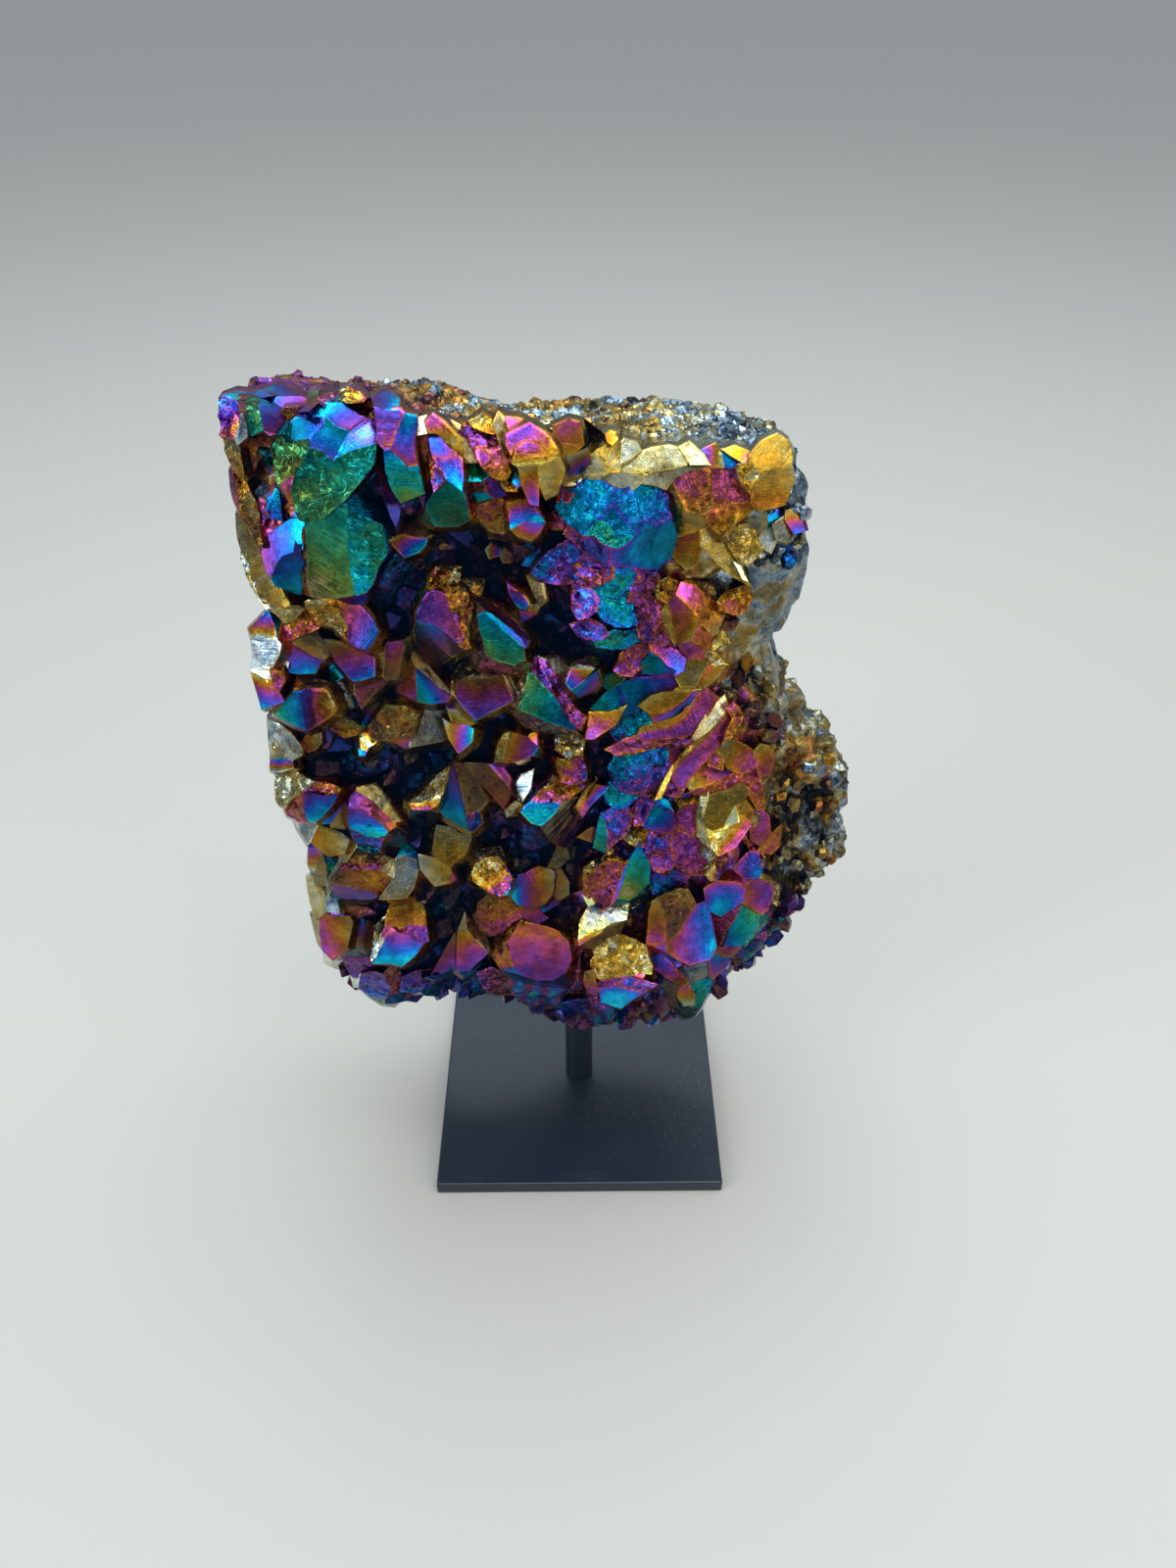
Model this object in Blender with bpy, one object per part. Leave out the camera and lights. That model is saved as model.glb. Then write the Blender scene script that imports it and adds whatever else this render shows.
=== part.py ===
"""A druzy quartz specimen with a metal coating, held up by a pin stand: plate, post and screw."""

import math
import random

import bmesh
import bpy
from mathutils import Matrix, Vector, noise
from mathutils.geometry import delaunay_2d_cdt

MM = 0.001
GAP = 0.3 * MM  # left between pieces that touch

# Stand
PLATE_SIDE = 60 * MM
PLATE_THICKNESS = 3 * MM
PLATE_BEVEL = 0.35 * MM
POST_RADIUS = 3 * MM
POST_TOP = 44.5 * MM  # height of its upper end, inside the stone
POST_BEVEL = 0.4 * MM
SCREW_RADIUS = 1.4 * MM
SCREW_TIP = 11 * MM
SCREW_HEAD_RADIUS = 2.85 * MM
SCREW_HEAD_SINK = 0.3 * MM  # how far the head sits above the plate's underside
SCREW_SOCKET_RADIUS = 1.15 * MM
SCREW_SOCKET_DEPTH = 1.0 * MM
ROUND_SEGMENTS = 40

# Matrix: the slab's outline in x and z, from its top left corner round by the right side
OUTLINE = (
    (-50, 159.5), (-44, 160.5), (-36, 159.5), (-28, 159.5), (-22, 159), (-17, 157), (-10, 155),
    (-3, 156), (5, 156.5), (13, 156.5), (20, 155), (26, 153), (32, 151.5), (35.5, 147), (37, 140),
    (37, 133), (36, 126), (32, 119), (35, 111), (40.5, 104), (46, 97.5), (49.3, 90),
    (50.6, 80), (51.8, 72.5), (48.3, 65.5), (44, 59.5), (40, 52), (34, 44), (28, 35.5),
    (21, 29.5), (10, 29), (0, 27.5), (-7, 29.5), (-12, 34), (-19, 38), (-26, 37.5), (-33, 37.5),
    (-40, 34), (-45, 38), (-49, 46), (-51, 56), (-50.5, 67), (-48.5, 77), (-50.5, 86),
    (-51.7, 95), (-51.5, 105), (-51.8, 115), (-50.7, 124), (-49.3, 130), (-50.7, 139), (-51.4, 149),
)
# Each ring of the slab, front to back: depth, how far it is drawn in, share of the right side's flare
RINGS = (
    (-9, 4.0, 1.0),
    (-6, 1.2, 0.85),
    (0, 0.0, 0.4),
    (7, 0.0, 0.0),
    (11.5, 1.8, 0.0),
    (14.5, 6.0, 0.0),
)
FLARE = 9 * MM  # how far the right side's front edge stands back from its rear edge
FLARE_HEIGHT = 108 * MM
FLARE_REACH = 45 * MM
CAP_SPACING = 8.0 * MM
ROUGHNESS = 1.0 * MM
HOLE_CLEARANCE = 0.3 * MM
HOLE_FOOT = 20 * MM

# Crystals: x, z and y of the tip, radius, lean of the axis in x and in z, the way its largest
# end face looks (0 up, 90 right, 180 down) and how deep that face cuts, in radii
CRYSTALS = (
    # the big blunt pair at the top left, and what grows round them
    (-34, 158, -24, 9.2, -0.10, 0.25, 185, 0.75),
    (-34.5, 145, -23, 8.2, 0.02, -0.10, 180, 0.70),
    (-48, 162, -17, 4.0, -0.25, 0.35, 300, 0.2),
    (-43, 164, -17, 5.2, -0.15, 0.45, 200, 0.4),
    (-42, 146, -17, 4.2, -0.40, 0.05, 250, 0.1),
    (-42, 139.5, -17, 4.0, -0.40, -0.10, 230, 0.1),
    (-38.5, 135, -16, 3.2, -0.20, -0.30, 180, 0.2),
    (-47, 152, -12, 4.0, -0.50, 0.00, 270, 0.2),
    (-28, 163, -18, 4.6, 0.15, 0.40, 20, 0.2),
    (-24, 152.5, -18, 4.2, 0.05, -0.18, 180, 0.5),
    # the row along the top edge, tips forward
    (-20.5, 155, -18, 3.6, 0.00, -0.05, 200, 0.4),
    (-18.5, 150.5, -17, 3.8, 0.00, -0.15, 180, 0.5),
    (-14, 155, -17, 3.2, 0.10, -0.05, 160, 0.3),
    (-14, 150.5, -16, 3.0, 0.10, -0.20, 190, 0.3),
    (-10, 154, -17, 3.8, 0.05, 0.00, 180, 0.4),
    (-4.5, 153, -17, 4.6, 0.05, -0.05, 200, 0.4),
    (-0.5, 157.5, -15, 3.8, 0.10, 0.15, 170, 0.2),
    (6, 157, -14, 5.0, 0.10, 0.35, 0, 0.6),
    (12.5, 156, -14, 5.0, 0.00, 0.30, 10, 0.6),
    (19, 157, -12, 4.0, 0.15, 0.40, 30, 0.4),
    # the dark middle of the upper half
    (-6.5, 146.5, -17, 3.6, 0.10, -0.15, 180, 0.3),
    (-11.5, 146.5, -16, 3.8, 0.00, -0.25, 170, 0.4),
    (-24.5, 143, -17, 3.2, -0.10, -0.20, 190, 0.3),
    (-28.5, 139, -16, 3.0, -0.10, -0.20, 180, 0.3),
    (-20.5, 127, -19, 5.4, -0.12, -0.30, 185, 0.6),
    (-11.5, 128.5, -19, 5.2, 0.05, -0.12, 20, 0.9),
    (-7.5, 135.5, -16, 2.9, 0.20, -0.15, 160, 0.3),
    (-6, 131.5, -15, 2.6, 0.25, -0.20, 180, 0.3),
    # the blunt pair right of the middle, and the broken crystals beside them
    (6.5, 145, -18, 10.0, 0.05, 0.22, 0, 0.10),
    (2.5, 134.5, -16, 8.2, -0.10, 0.05, 150, 0.50),
    (16, 151, -15, 4.6, 0.05, 0.00, 180, 0.3),
    (22, 151.5, -14, 4.2, 0.15, 0.05, 190, 0.3),
    (21, 145, -13, 4.6, 0.20, -0.10, 200, 0.3),
    (17, 141, -14, 4.4, 0.10, -0.10, 170, 0.4),
    (28, 155, -12, 5.0, 0.30, 0.25, 60, 0.1),
    (16.5, 132, -14, 6.2, 0.10, 0.05, 120, 0.4),
    (24, 134, -12, 3.8, 0.30, 0.00, 90, 0.2),
    (30, 146, -8, 4.4, 0.60, 0.00, 90, 0.2),
    # left edge
    (-50, 129.5, -13, 4.2, -0.35, 0.05, 320, 0.4),
    (-50, 123, -14, 4.2, -0.30, 0.00, 300, 0.4),
    (-49.9, 116.5, -13, 4.0, -0.30, -0.15, 280, 0.3),
    (-49.9, 107, -12, 4.2, -0.25, -0.10, 270, 0.3),
    (-50, 99.5, -12, 4.4, -0.25, 0.00, 300, 0.3),
    (-50, 93, -13, 4.2, -0.25, -0.10, 240, 0.3),
    (-48, 82, -13, 4.2, -0.30, 0.00, 290, 0.3),
    (-49, 73, -12, 4.4, -0.30, 0.05, 280, 0.3),
    # the points of the left half, from the top down
    (-42, 130, -17, 3.2, -0.25, 0.00, 0, 0.4),
    (-33, 129, -18, 5.6, 0.25, -0.25, 20, 0.6),
    (-41.5, 123.5, -18, 4.6, -0.10, -0.20, 190, 0.4),
    (-34.5, 122, -18, 4.8, 0.05, -0.25, 190, 0.4),
    (-28.5, 122.5, -17, 3.6, 0.05, -0.20, 170, 0.4),
    (-42.5, 113, -19, 6.2, -0.20, -0.25, 200, 0.4),
    (-34.5, 116.5, -17, 4.6, 0.05, -0.25, 170, 0.3),
    (-24, 118.5, -18, 5.2, 0.05, -0.25, 200, 0.3),
    (-15, 115, -19, 5.8, 0.02, -0.25, 10, 0.6),
    (-4.5, 114.5, -19, 6.6, 0.20, -0.15, 20, 0.8),
    (-27.5, 110, -18, 4.8, 0.00, -0.15, 190, 0.3),
    (-23, 110, -17, 3.6, 0.10, -0.20, 160, 0.3),
    (-18.8, 108.5, -18, 3.6, 0.05, -0.25, 20, 0.6),
    (-9.5, 107.5, -18, 4.2, 0.35, -0.10, 200, 0.4),
    (-14.5, 110, -15, 4.0, 0.15, -0.10, 0, 0.3),
    (-44, 108.5, -15, 3.4, -0.25, -0.15, 190, 0.3),
    (-37.5, 110.5, -15, 3.8, 0.00, -0.15, 190, 0.3),
    (-34.5, 108, -14, 2.8, 0.00, -0.10, 0, 0.5),
    (-40, 102.5, -12, 5.0, -0.10, -0.10, 180, 0.3),
    (-29, 101, -14, 3.4, 0.00, -0.10, 190, 0.3),
    (-44, 95.5, -18, 5.0, -0.20, -0.20, 190, 0.5),
    (-39.5, 92.5, -17, 4.4, -0.05, -0.25, 210, 0.3),
    (-35, 89, -19, 5.8, -0.08, -0.30, 185, 0.5),
    (-31, 94, -17, 3.6, 0.10, -0.25, 150, 0.2),
    (-27, 96, -18, 5.6, -0.20, -0.20, 330, 0.3),
    (-18.5, 94, -18, 5.8, 0.05, -0.25, 180, 0.2),
    (-12, 98, -18, 4.8, 0.30, -0.25, 170, 0.2),
    (-4.5, 92, -20, 6.0, -0.18, -0.22, 190, 0.6),
    (2.5, 95.5, -16, 3.8, 0.25, -0.10, 150, 0.3),
    (-42, 86.5, -16, 4.4, -0.25, -0.25, 200, 0.4),
    (-39, 77, -18, 5.8, -0.15, -0.20, 190, 0.4),
    (-31, 77.5, -17, 4.8, 0.05, -0.25, 10, 0.5),
    (-21.5, 84.5, -18, 4.8, 0.05, -0.20, 10, 0.6),
    (-24, 79, -16, 4.2, 0.10, -0.20, 170, 0.4),
    (-14.5, 77, -18, 5.0, 0.10, -0.30, 190, 0.4),
    (-8, 75, -17, 4.8, 0.10, -0.20, 180, 0.3),
    (-2.5, 80.5, -16, 4.0, 0.10, -0.15, 190, 0.4),
    (-34, 60, -19, 6.2, -0.02, -0.28, 183, 0.6),
    (-46.5, 60, -16, 4.8, -0.10, -0.35, 180, 0.3),
    (-41, 66, -14, 4.0, -0.10, -0.20, 180, 0.3),
    (-20.5, 56, -17, 4.2, 0.05, -0.45, 170, 0.3),
    (-25.5, 55, -16, 4.0, -0.05, -0.40, 190, 0.3),
    (-13, 68.5, -16, 5.8, 0.00, -0.10, 20, 0.9),
    (-7, 58, -19, 9.8, 0.00, -0.12, 30, 0.9),
    (4, 74, -18, 6.2, 0.00, -0.25, 190, 0.4),
    (10.5, 75, -17, 5.0, 0.10, -0.25, 170, 0.4),
    (5.5, 88, -16, 4.8, 0.10, -0.15, 200, 0.4),
    (3, 65, -16, 4.6, -0.25, -0.10, 330, 0.7),
    (7, 50, -18, 6.0, -0.02, -0.35, 190, 0.5),
    # lower right
    (19.5, 59, -18, 6.8, 0.05, -0.25, 185, 0.5),
    (14, 64, -16, 5.2, 0.00, -0.15, 200, 0.3),
    (15, 49, -15, 5.0, 0.05, -0.30, 180, 0.4),
    (22, 45.5, -14, 4.8, 0.15, -0.50, 190, 0.2),
    (27, 72, -16, 5.0, 0.15, -0.20, 190, 0.5),
    (32.5, 73, -14, 4.4, 0.25, -0.15, 170, 0.3),
    (29, 63, -14, 4.8, 0.25, -0.25, 180, 0.4),
    (26, 56, -13, 4.4, 0.25, -0.35, 180, 0.3),
    # right half, fused and low
    (4.5, 117, -15, 5.2, 0.25, -0.10, 200, 0.5),
    (11, 123.5, -14, 5.6, 0.15, 0.00, 170, 0.4),
    (18, 122, -13, 4.4, 0.20, 0.00, 150, 0.4),
    (4.5, 111, -16, 4.2, 0.15, -0.15, 350, 0.5),
    (8.5, 103, -14, 6.2, 0.15, 0.00, 40, 0.8),
    (15, 92.5, -15, 5.4, 0.10, -0.10, 10, 0.5),
    (26, 90, -15, 6.6, 0.20, -0.05, 30, 0.5),
    (27, 105, -13, 5.8, 0.25, 0.05, 60, 0.3),
    (16, 83, -15, 6.2, 0.10, -0.10, 10, 0.6),
    (23, 81, -14, 4.6, 0.20, -0.10, 60, 0.4),
    (33, 88, -11, 4.6, 0.40, -0.05, 60, 0.3),
    (36, 98, -7, 5.2, 0.60, 0.10, 60, 0.3),
    (42, 88, -2, 5.4, 0.80, 0.00, 90, 0.3),
    (39, 77, -6, 4.8, 0.60, -0.10, 90, 0.3),
    # bottom rim
    (-48, 52, -13, 4.4, -0.20, -0.30, 220, 0.3),
    (-43, 43, -13, 5.6, -0.15, -0.40, 220, 0.2),
    (-36, 40, -13, 5.8, 0.00, -0.45, 190, 0.2),
    (-29.5, 43.5, -13, 5.0, 0.05, -0.40, 170, 0.2),
    (-23.5, 42.5, -12, 4.2, 0.00, -0.45, 180, 0.2),
    (-17, 42, -12, 4.6, 0.00, -0.45, 180, 0.2),
    (-10, 37.5, -11, 5.0, 0.00, -0.50, 180, 0.2),
    (-2, 33.5, -11, 5.2, 0.00, -0.50, 180, 0.2),
    (6, 33.5, -11, 5.0, 0.00, -0.50, 180, 0.2),
    (14, 34, -11, 5.0, 0.05, -0.50, 180, 0.2),
    (21, 34, -11, 4.6, 0.15, -0.50, 180, 0.2),
)
BURY = 3 * MM  # how far behind the middle of the slab a crystal starts
FACE_ANGLE = math.radians(51.8)  # between a quartz end face's normal and the crystal's axis

# Blades: the two ends, x and z, then the depth, width and thickness of each long fused crystal
BLADES = (
    ((5, 107), (22, 114.5), -13.5, 5.0, 5.0),
    ((9, 113), (20, 120), -14.0, 5.5, 5.0),
    ((13, 100), (26, 115), -13.0, 6.0, 5.0),
    ((6, 94), (13, 100), -13.0, 6.0, 5.0),
    ((17, 98), (31, 101), -12.5, 6.0, 5.0),
)


def clear_scene():
    for found in list(bpy.data.objects):
        bpy.data.objects.remove(found, do_unlink=True)


def principled(name, colour, metallic, roughness):
    material = bpy.data.materials.new(name)
    material.use_nodes = True
    shader = material.node_tree.nodes["Principled BSDF"]
    shader.inputs["Base Color"].default_value = (*colour, 1)
    shader.inputs["Metallic"].default_value = metallic
    shader.inputs["Roughness"].default_value = roughness
    material.diffuse_color = (*colour, 1)
    return material


def add_object(name, bm, material):
    """The bmesh as a new object of that name, its faces turned outwards."""
    bmesh.ops.recalc_face_normals(bm, faces=bm.faces)
    mesh = bpy.data.meshes.new(name)
    bm.to_mesh(mesh)
    bm.free()
    mesh.materials.append(material)
    obj = bpy.data.objects.new(name, mesh)
    bpy.context.scene.collection.objects.link(obj)
    return obj


def as_helper(obj):
    obj.hide_render = True
    obj.display_type = "WIRE"
    return obj


def boolean(obj, operation, other):
    modifier = obj.modifiers.new(operation.title(), "BOOLEAN")
    modifier.operation = operation
    modifier.solver = "EXACT"
    if isinstance(other, bpy.types.Collection):
        modifier.operand_type = "COLLECTION"
        modifier.collection = other
    else:
        modifier.object = other
    return modifier


def turned(profile):
    """A bmesh turned about Z from (radius, height) points that start and end on the axis."""
    bm = bmesh.new()
    points = [bm.verts.new((radius, 0, height)) for radius, height in profile]
    edges = [bm.edges.new(pair) for pair in zip(points, points[1:])]
    bmesh.ops.spin(
        bm,
        geom=points + edges,
        cent=(0, 0, 0),
        axis=(0, 0, 1),
        angle=math.tau,
        steps=ROUND_SEGMENTS,
        use_merge=True,
    )
    bmesh.ops.remove_doubles(bm, verts=bm.verts, dist=1e-6)
    return bm


def shade_round(obj):
    obj.data.shade_smooth()
    obj.data.set_sharp_from_angle(angle=math.radians(35))


# ---- stand


def make_plate(material):
    bm = bmesh.new()
    bmesh.ops.create_cube(bm, size=1)
    bmesh.ops.scale(bm, vec=(PLATE_SIDE, PLATE_SIDE, PLATE_THICKNESS), verts=bm.verts)
    bmesh.ops.translate(bm, vec=(0, 0, PLATE_THICKNESS / 2), verts=bm.verts)
    bmesh.ops.bevel(
        bm, geom=bm.edges, offset=PLATE_BEVEL, segments=2, profile=0.5, affect="EDGES"
    )
    plate = add_object("base_plate", bm, material)

    # countersunk hole, a gap wider than the screw all round
    slant_gap = GAP * math.sqrt(2)
    mouth = SCREW_HEAD_RADIUS + SCREW_HEAD_SINK + slant_gap
    bore = SCREW_RADIUS + GAP
    margin = 1 * MM
    profile = (
        (0, -margin),
        (mouth + margin, -margin),
        (bore, mouth - bore),
        (bore, PLATE_THICKNESS + margin),
        (0, PLATE_THICKNESS + margin),
    )
    boolean(plate, "DIFFERENCE", as_helper(add_object("plate_hole", turned(profile), material)))
    return plate


def make_post(material):
    foot = PLATE_THICKNESS + GAP
    profile = (
        (0, foot),
        (POST_RADIUS, foot),
        (POST_RADIUS, POST_TOP - POST_BEVEL),
        (POST_RADIUS - POST_BEVEL, POST_TOP),
        (0, POST_TOP),
    )
    post = add_object("post", turned(profile), material)
    bore = SCREW_RADIUS + GAP
    depth = SCREW_TIP + GAP
    hole = turned(((0, foot - MM), (bore, foot - MM), (bore, depth), (0, depth + bore / 2)))
    boolean(post, "DIFFERENCE", as_helper(add_object("post_hole", hole, material)))
    shade_round(post)
    return post


def make_screw(material):
    neck = SCREW_HEAD_SINK + SCREW_HEAD_RADIUS - SCREW_RADIUS
    profile = (
        (0, SCREW_HEAD_SINK),
        (SCREW_HEAD_RADIUS, SCREW_HEAD_SINK),
        (SCREW_RADIUS, neck),
        (SCREW_RADIUS, SCREW_TIP - SCREW_RADIUS / 2),
        (SCREW_RADIUS / 2, SCREW_TIP),
        (0, SCREW_TIP),
    )
    screw = add_object("base_screw", turned(profile), material)
    bm = bmesh.new()
    bmesh.ops.create_cone(
        bm,
        cap_ends=True,
        segments=6,
        radius1=SCREW_SOCKET_RADIUS,
        radius2=SCREW_SOCKET_RADIUS,
        depth=2 * SCREW_SOCKET_DEPTH,
    )
    bmesh.ops.translate(bm, vec=(0, 0, SCREW_HEAD_SINK), verts=bm.verts)
    boolean(screw, "DIFFERENCE", as_helper(add_object("screw_socket", bm, material)))
    shade_round(screw)
    return screw


# ---- specimen


def flare(x, z):
    """How far the right side of the front stands in from the outline there."""
    if x < 0:
        return 0
    return FLARE * math.exp(-(((z - FLARE_HEIGHT) / FLARE_REACH) ** 2))


def ring_points(inset, share):
    """The outline drawn in by inset, and on its right by its share of the flare."""
    points = [Vector((x, z)) * MM for x, z in OUTLINE]
    drawn = []
    for i, point in enumerate(points):
        along = (points[(i + 1) % len(points)] - points[i - 1]).normalized()
        inward = Vector((along.y, -along.x))
        moved = point + inward * inset
        if inward.x < -0.3:
            moved.x -= share * flare(point.x, point.y)
        drawn.append(moved)
    return drawn


def relief(x, y, z):
    """A seeded wander of the rock's surface, about a millimetre either way."""
    place = Vector((x, y, z)) / (9 * MM)
    return ROUGHNESS * (noise.noise(place) + 0.5 * noise.noise(place * 2.7))


def cap(bm, ring, depth, bulge, rng):
    """Closes a ring of vertices with triangles that stand out by bulge in the middle."""
    flat = [Vector((v.co.x, v.co.z)) for v in ring]
    low = Vector((min(p.x for p in flat), min(p.y for p in flat)))
    high = Vector((max(p.x for p in flat), max(p.y for p in flat)))
    inner = []
    rows = int((high.y - low.y) / CAP_SPACING)
    columns = int((high.x - low.x) / CAP_SPACING)
    for row in range(1, rows + 1):
        for column in range(columns + 1):
            spot = low + Vector((column + 0.5 * (row % 2), row)) * CAP_SPACING
            spot += Vector((rng.uniform(-1, 1), rng.uniform(-1, 1))) * CAP_SPACING * 0.25
            inner.append(spot)
    # outside points and those too near the ring are left out
    kept = []
    for spot in inner:
        crossings = sum(
            (a.y > spot.y) != (b.y > spot.y)
            and spot.x < (b.x - a.x) * (spot.y - a.y) / (b.y - a.y) + a.x
            for a, b in zip(flat, flat[1:] + flat[:1])
        )
        if crossings % 2 and min((spot - p).length for p in flat) > CAP_SPACING * 0.6:
            kept.append(spot)
    corners = flat + kept
    border = [(i, (i + 1) % len(flat)) for i in range(len(flat))]
    places, _, triangles, _, _, _ = delaunay_2d_cdt(corners, border, [], 1, 1e-7)
    verts = list(ring)
    for spot in places[len(flat):]:
        y = depth + bulge + 1.6 * relief(spot.x, depth, spot.y)
        verts.append(bm.verts.new((spot.x, y, spot.y)))
    for triangle in triangles:
        bm.faces.new([verts[i] for i in triangle])


def make_matrix(material):
    rng = random.Random(4)
    bm = bmesh.new()
    rings = []
    for depth, inset, share in RINGS:
        ring = []
        for spot in ring_points(inset * MM, share):
            wander = relief(spot.x, depth * MM, spot.y)
            y = depth * MM + wander + rng.uniform(-0.5, 0.5) * MM
            ring.append(bm.verts.new((spot.x + wander * 0.5, y, spot.y + wander * 0.5)))
        rings.append(ring)
    for front, back in zip(rings, rings[1:]):
        for i in range(len(front)):
            bm.faces.new((front[i - 1], front[i], back[i], back[i - 1]))
    cap(bm, rings[0], RINGS[0][0] * MM, 1.5 * MM, rng)
    cap(bm, rings[-1], RINGS[-1][0] * MM, 0.5 * MM, rng)
    bmesh.ops.triangulate(bm, faces=bm.faces)
    return add_object("crystal_cluster", bm, material)


def crystal(radius, length, cut, rng):
    """A hexagonal crystal along +Z with its tip at the origin and its largest end face at +X."""
    bm = bmesh.new()
    bmesh.ops.create_cone(
        bm, cap_ends=True, segments=6, radius1=radius, radius2=radius * 0.92, depth=length
    )
    bmesh.ops.rotate(bm, matrix=Matrix.Rotation(math.radians(30), 3, "Z"), verts=bm.verts)
    bmesh.ops.translate(bm, vec=(0, 0, -length / 2), verts=bm.verts)
    bmesh.ops.scale(
        bm, vec=(rng.uniform(0.9, 1.08), rng.uniform(0.9, 1.08), 1), verts=bm.verts
    )
    for side in range(6):
        turn = math.radians(60 * side)
        outward = Vector((math.cos(turn), math.sin(turn), 0))
        normal = outward * math.sin(FACE_ANGLE) + Vector((0, 0, math.cos(FACE_ANGLE)))
        depth = cut if side == 0 else rng.uniform(0, 0.12) + 0.08 * (side % 2)
        found = bmesh.ops.bisect_plane(
            bm,
            geom=bm.verts[:] + bm.edges[:] + bm.faces[:],
            dist=1e-6,
            plane_co=(0, 0, -depth * radius),
            plane_no=normal,
            clear_outer=True,
        )
        rim = [piece for piece in found["geom_cut"] if isinstance(piece, bmesh.types.BMEdge)]
        if rim:
            bmesh.ops.edgeloop_fill(bm, edges=rim)
    return bm


def axis_frame(axis, spin, place):
    """The matrix that stands a crystal along axis, its largest face looking up, turned by spin."""
    axis = axis.normalized()
    up = Vector((0, 0, 1)) - axis * axis.z
    up.rotate(Matrix.Rotation(-spin, 3, axis))
    up.normalize()
    side = axis.cross(up)
    frame = Matrix((up, side, axis)).transposed().to_4x4()
    frame.translation = place
    return frame


def make_crystals(material):
    collection = bpy.data.collections.new("crystals")
    rng = random.Random(11)
    for x, z, y, radius, lean_x, lean_z, spin, cut in CRYSTALS:
        axis = Vector((lean_x, -1, lean_z))
        length = (BURY - y * MM) * axis.length
        bm = crystal(radius * MM, length, cut, rng)
        place = Vector((x, y, z)) * MM
        bmesh.ops.transform(
            bm, matrix=axis_frame(axis, math.radians(spin), place), verts=bm.verts
        )
        as_helper(add_object("crystal", bm, material))
        collection.objects.link(bpy.context.scene.collection.objects[-1])
    for start, end, y, width, thickness in BLADES:
        begin = Vector((start[0], y, start[1])) * MM
        along = Vector((end[0], y + 1, end[1])) * MM - begin
        bm = crystal(width * MM, along.length, 0.4, rng)
        bmesh.ops.scale(bm, vec=(thickness / width, 1, 1), verts=bm.verts)
        bmesh.ops.transform(
            bm, matrix=axis_frame(-along, math.radians(rng.uniform(20, 40)), begin), verts=bm.verts
        )
        as_helper(add_object("crystal", bm, material))
        collection.objects.link(bpy.context.scene.collection.objects[-1])
    return collection


def apply_modifiers(obj):
    graph = bpy.context.evaluated_depsgraph_get()
    mesh = bpy.data.meshes.new_from_object(obj.evaluated_get(graph))
    obj.modifiers.clear()
    obj.data = mesh


def keep_outer_shell(obj):
    """Drops the closed pockets that crystals shut in between them."""
    bm = bmesh.new()
    bm.from_mesh(obj.data)
    shells = []
    left = set(bm.faces)
    while left:
        shell = {left.pop()}
        front = set(shell)
        while front:
            front = {
                other for face in front for edge in face.edges for other in edge.link_faces
            } - shell
            shell |= front
        left -= shell
        shells.append(shell)
    largest = max(shells, key=lambda shell: sum(face.calc_area() for face in shell))
    inner = [face for shell in shells if shell is not largest for face in shell]
    bmesh.ops.delete(bm, geom=inner, context="FACES")
    bm.to_mesh(obj.data)
    bm.free()


def make_specimen(material):
    matrix = make_matrix(material)
    boolean(matrix, "UNION", make_crystals(material))
    apply_modifiers(matrix)
    keep_outer_shell(matrix)
    radius = POST_RADIUS + HOLE_CLEARANCE
    top = POST_TOP + GAP
    profile = ((0, HOLE_FOOT), (radius, HOLE_FOOT), (radius, top), (0, top + radius / 3))
    hole = as_helper(add_object("stone_hole", turned(profile), material))
    boolean(matrix, "DIFFERENCE", hole)
    return matrix


def main():
    clear_scene()
    coated = principled("metal_coated_quartz", (0.28, 0.16, 0.42), 1.0, 0.22)
    black = principled("black_painted_steel", (0.012, 0.013, 0.016), 0.0, 0.45)
    zinc = principled("dark_plated_steel", (0.10, 0.10, 0.11), 1.0, 0.35)
    make_specimen(coated)
    make_post(black)
    make_plate(black)
    make_screw(zinc)


main()
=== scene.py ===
import math
import random

import bmesh
import bpy
import numpy as np
from mathutils import Matrix, Vector, kdtree, noise


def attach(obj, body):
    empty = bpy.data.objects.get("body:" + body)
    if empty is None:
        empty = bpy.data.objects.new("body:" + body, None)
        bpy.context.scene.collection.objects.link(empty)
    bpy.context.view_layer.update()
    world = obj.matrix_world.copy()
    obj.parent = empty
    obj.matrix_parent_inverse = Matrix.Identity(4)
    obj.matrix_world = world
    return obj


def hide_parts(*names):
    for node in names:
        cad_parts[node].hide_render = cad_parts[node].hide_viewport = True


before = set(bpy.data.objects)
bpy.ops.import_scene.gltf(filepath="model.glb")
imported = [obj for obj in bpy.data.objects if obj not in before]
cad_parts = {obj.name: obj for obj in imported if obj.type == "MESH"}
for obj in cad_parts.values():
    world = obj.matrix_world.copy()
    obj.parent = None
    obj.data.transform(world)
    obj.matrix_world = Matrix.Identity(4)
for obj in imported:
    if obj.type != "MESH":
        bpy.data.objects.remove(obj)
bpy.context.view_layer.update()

bpy.ops.object.select_all(action="DESELECT")

# the camera's place in mm, how far it looks down and aside in degrees, and its lens and frame in pixels
view = {"place": (0.43, -176.4, 223.4), "pitch": 37.95, "turn": 0.52, "focal": 1222.0, "frame": (1200, 1600)}
eyePlace = Vector(view["place"])
eyePitch, eyeTurn = math.radians(view["pitch"]), math.radians(view["turn"])
focal = view["focal"]
centreX, centreY = view["frame"][0] / 2, view["frame"][1] / 2
eyeForward = Vector((
    math.sin(eyeTurn) * math.cos(eyePitch), math.cos(eyeTurn) * math.cos(eyePitch), -math.sin(eyePitch),
))
eyeRight = Vector((math.cos(eyeTurn), -math.sin(eyeTurn), 0))
eyeDown = eyeForward.cross(eyeRight)

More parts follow.
